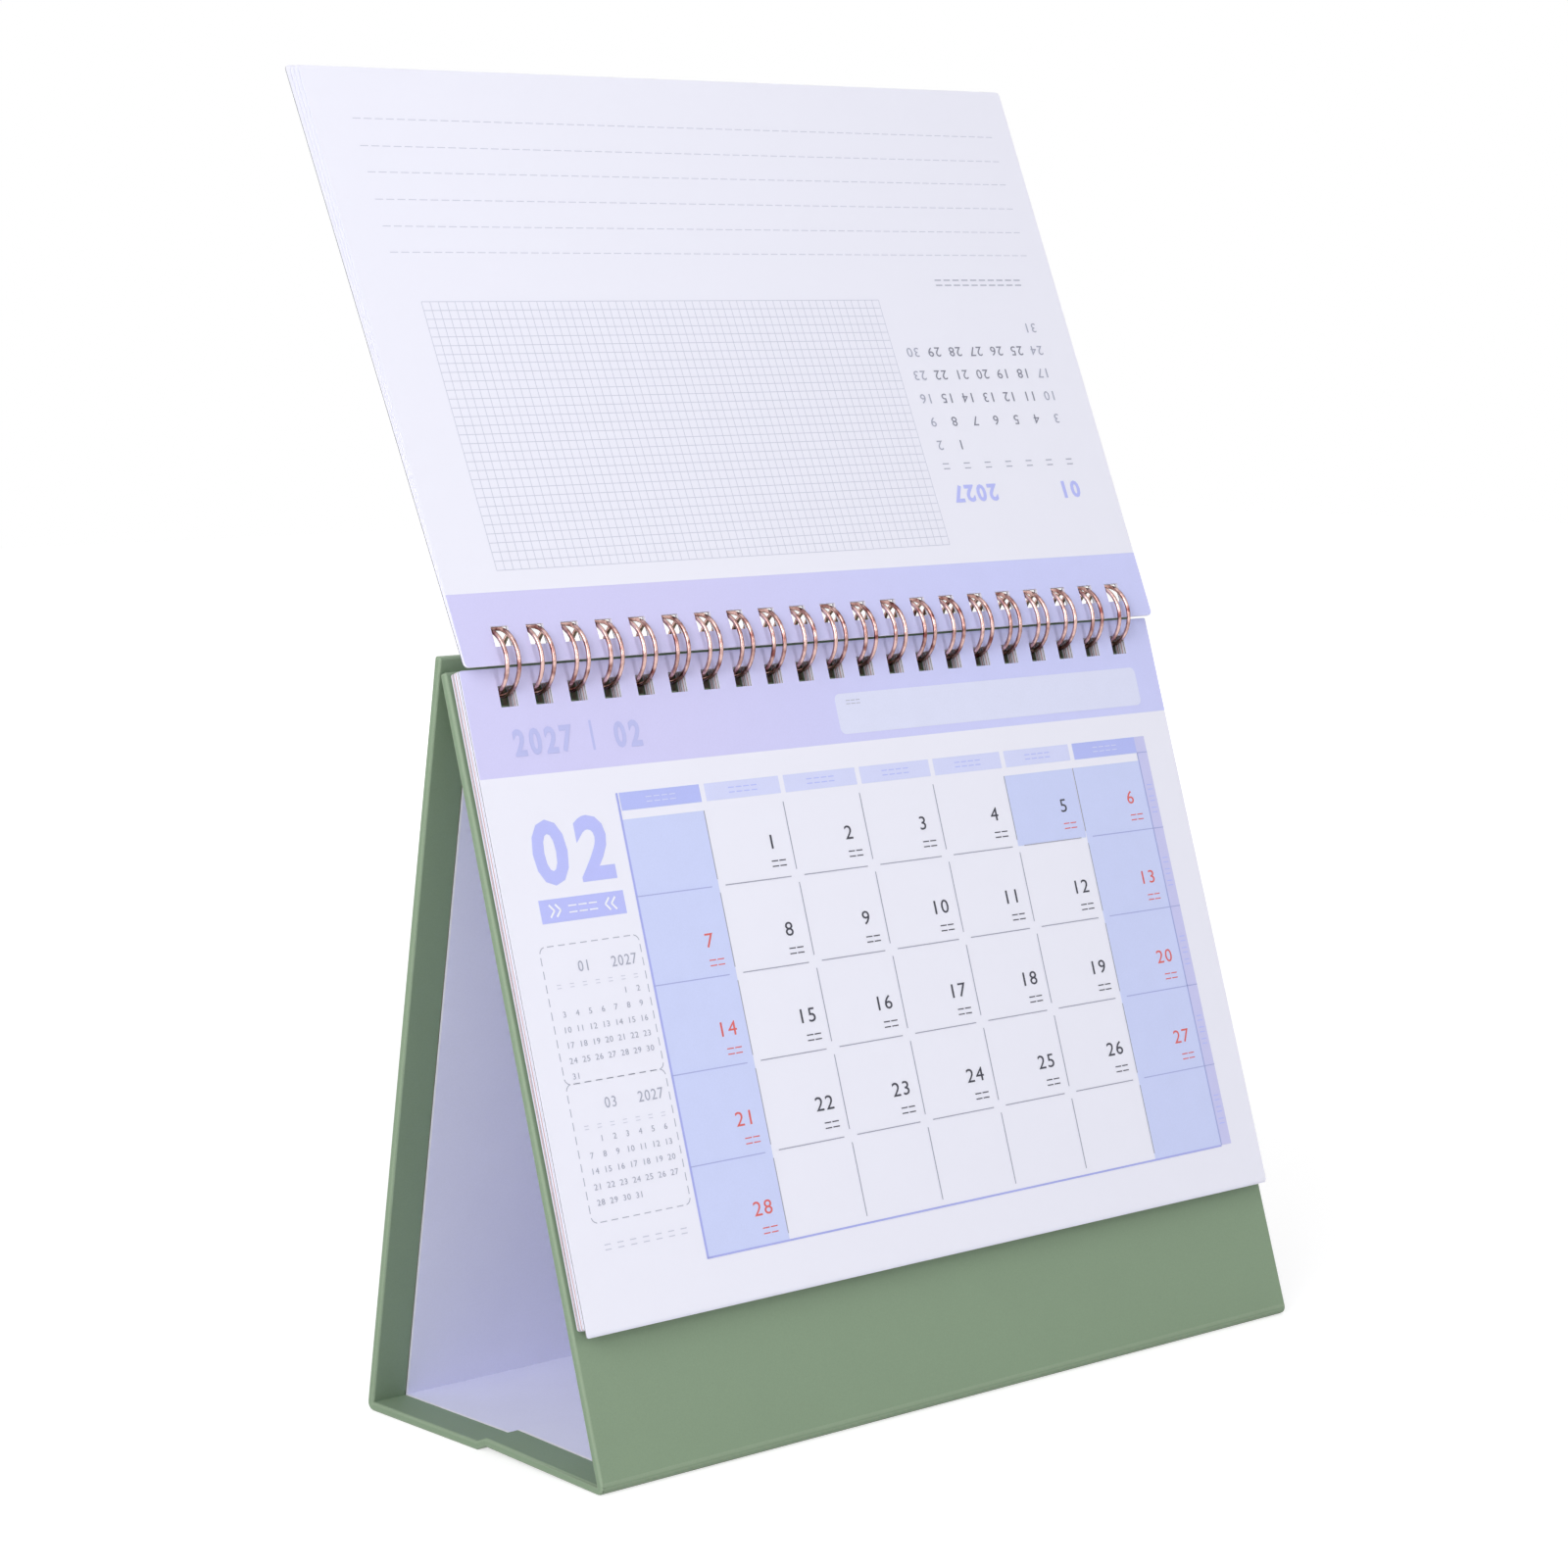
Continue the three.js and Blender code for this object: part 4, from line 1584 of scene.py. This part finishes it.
@dataclass
class Studio:
    """A plain pale floor, soft lamps, a white surround and the camera at the photograph's angle.

    The camera's position and target are in millimetres. The floor glows a little less near the calendar,
    within glow_reach in metres, so that its soft shadow shows there.
    """

    lens: float = 83.27
    sensor: float = 36.0
    position: Point = (-500.781, -559.592, 213.585)
    target: Point = (-15.587, 1.0, 134.28)
    roll: float = -0.007
    optical_centre_y: float = 750.48
    frame_pixels: float = 1600.0
    floor_size: float = 6.0
    floor_bounce: str = "#F2F2F2"
    floor_grey: float = 0.45
    glow_reach: Span = (0.3, 1.2)
    glow: Span = (0.7, 0.83)
    surround: float = 0.44

    def build(self) -> None:
        """Build the camera, the floor, the lamps and the world."""
        self.camera()
        self.floor()
        for lamp in LAMPS:
            lamp.build()
        self.world()
        bpy.context.scene.view_settings.view_transform = "Standard"

    def camera(self) -> None:
        """The camera, whose shift keeps the photograph's framing."""
        data = bpy.data.cameras.new("camera")
        data.lens = self.lens
        data.sensor_width = self.sensor
        data.shift_y = (self.optical_centre_y - self.frame_pixels / 2) / self.frame_pixels
        data.clip_start = 0.01
        data.clip_end = 100.0
        camera = bpy.data.objects.new("camera", data)
        bpy.context.scene.collection.objects.link(camera)
        camera.location = Vector(self.position) * MM
        look = Vector(self.target) * MM - camera.location
        camera.rotation_mode = "QUATERNION"
        camera.rotation_quaternion = look.to_track_quat("-Z", "Y") @ Quaternion((0.0, 0.0, 1.0), self.roll)
        bpy.context.scene.camera = camera

    @staticmethod
    def seen_directly(bench: NodeBench) -> Socket:
        """One for rays of the camera and of mirrors and glass, which see the white surround."""
        rays = bench.add_node("ShaderNodeLightPath").node.outputs
        seen = rays["Is Camera Ray"]
        for kind in ("Is Glossy Ray", "Is Transmission Ray"):
            seen = bench.add_node("ShaderNodeMath", {"operation": "MAXIMUM"}, {0: seen, 1: rays[kind]})
        return seen

    def floor(self) -> None:
        """A pale floor that reads as white and keeps the calendar's soft shadow."""
        bpy.ops.object.select_all(action="DESELECT")
        bpy.ops.mesh.primitive_plane_add(size=self.floor_size)
        floor = named(bpy.context.object, "studio_floor")
        bench = NodeBench(bpy.data.materials.new("pale_floor"))
        plain = bench.add_node("ShaderNodeBsdfDiffuse", {"Color": linear(self.floor_bounce)})
        grey = (self.floor_grey, self.floor_grey, self.floor_grey, 1.0)
        shadowed = bench.add_node("ShaderNodeBsdfDiffuse", {"Color": grey})
        spot = bench.add_node("ShaderNodeTexCoord", output="Object")
        away = bench.add_node("ShaderNodeVectorMath", {"operation": "LENGTH"}, {0: spot}, "Value")
        (near, far), (low, high) = self.glow_reach, self.glow
        rise = {"From Min": near, "From Max": far, "To Min": low, "To Max": high}
        strength = bench.add_node("ShaderNodeMapRange", rise, {"Value": away})
        glow = bench.add_node("ShaderNodeEmission", None, {"Strength": strength})
        lit = bench.add_node("ShaderNodeAddShader", None, {0: shadowed, 1: glow})
        mix = bench.add_node("ShaderNodeMixShader", None, {0: self.seen_directly(bench), 1: plain, 2: lit})
        floor.data.materials.append(bench.close("ShaderNodeOutputMaterial", mix))

    def world(self) -> None:
        """A white surround that lights the calendar evenly and shows as white."""
        bench = NodeBench(bpy.data.worlds.new("studio_world"))
        light, white = (
            bench.add_node("ShaderNodeBackground", {"Strength": strength, "Color": (1.0, 1.0, 1.0, 1.0)})
            for strength in (self.surround, 1.0)
        )
        mix = bench.add_node("ShaderNodeMixShader", None, {0: self.seen_directly(bench), 1: light, 2: white})
        bpy.context.scene.world = bench.close("ShaderNodeOutputWorld", mix)


def main() -> None:
    """Build the calendar's looks round its solids, and the studio round the calendar."""
    logging.basicConfig(level=logging.INFO, format="%(message)s")
    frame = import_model()
    sizes = CalendarSizes()
    Studio().build()
    FoldedStand(sizes).build(frame["nodes"])
    BindingWire(sizes).build()
    LeafStack(
        sizes,
        name="front_leaf",
        node="front_leaves",
        body=STAND_BODY,
        bound_edge=BoundEdge.TOP,
        place_of=sizes.front_leaf_place,
        thickness=sizes.front_stack,
        sheets=12,
        band_width=21.1,
        lead=((0.0, 0.0), (-0.1, -0.35)),
        rest=(-0.05, 1.15),
        corner_radius=0.5,
        margin=0.35,
        # Leaves 2 and 8 have grey cut edges as painted shade between sheets; leaves 5 and 10 take a pink
        # tint.
        tints={1: LEAF_PAINTED_SHADE_EDGE, 4: LEAF_TINTED_EDGE, 7: LEAF_PAINTED_SHADE_EDGE, 9: LEAF_TINTED_EDGE},
    ).build()
    LeafStack(
        sizes,
        name="raised_leaf",
        node="raised_leaves",
        body=TURNED_BODY,
        bound_edge=BoundEdge.BOTTOM,
        place_of=sizes.raised_leaf_place,
        thickness=sizes.raised_stack,
        sheets=4,
        band_width=14.4,
        sheet_thickness=0.14,
        lead=((0.0, 0.0), (0.0, 0.1), (0.0, 0.2)),
        rest=(0.0, 0.3),
        margin=-0.5,
        seed=3,
        tints={3: LEAF_SHADED_EDGE},
    ).build()
    shop = PrintShop.open()
    MonthPage(sizes, shop).build()
    NotesPage(sizes, shop).build()


if __name__ == "__main__":
    main()
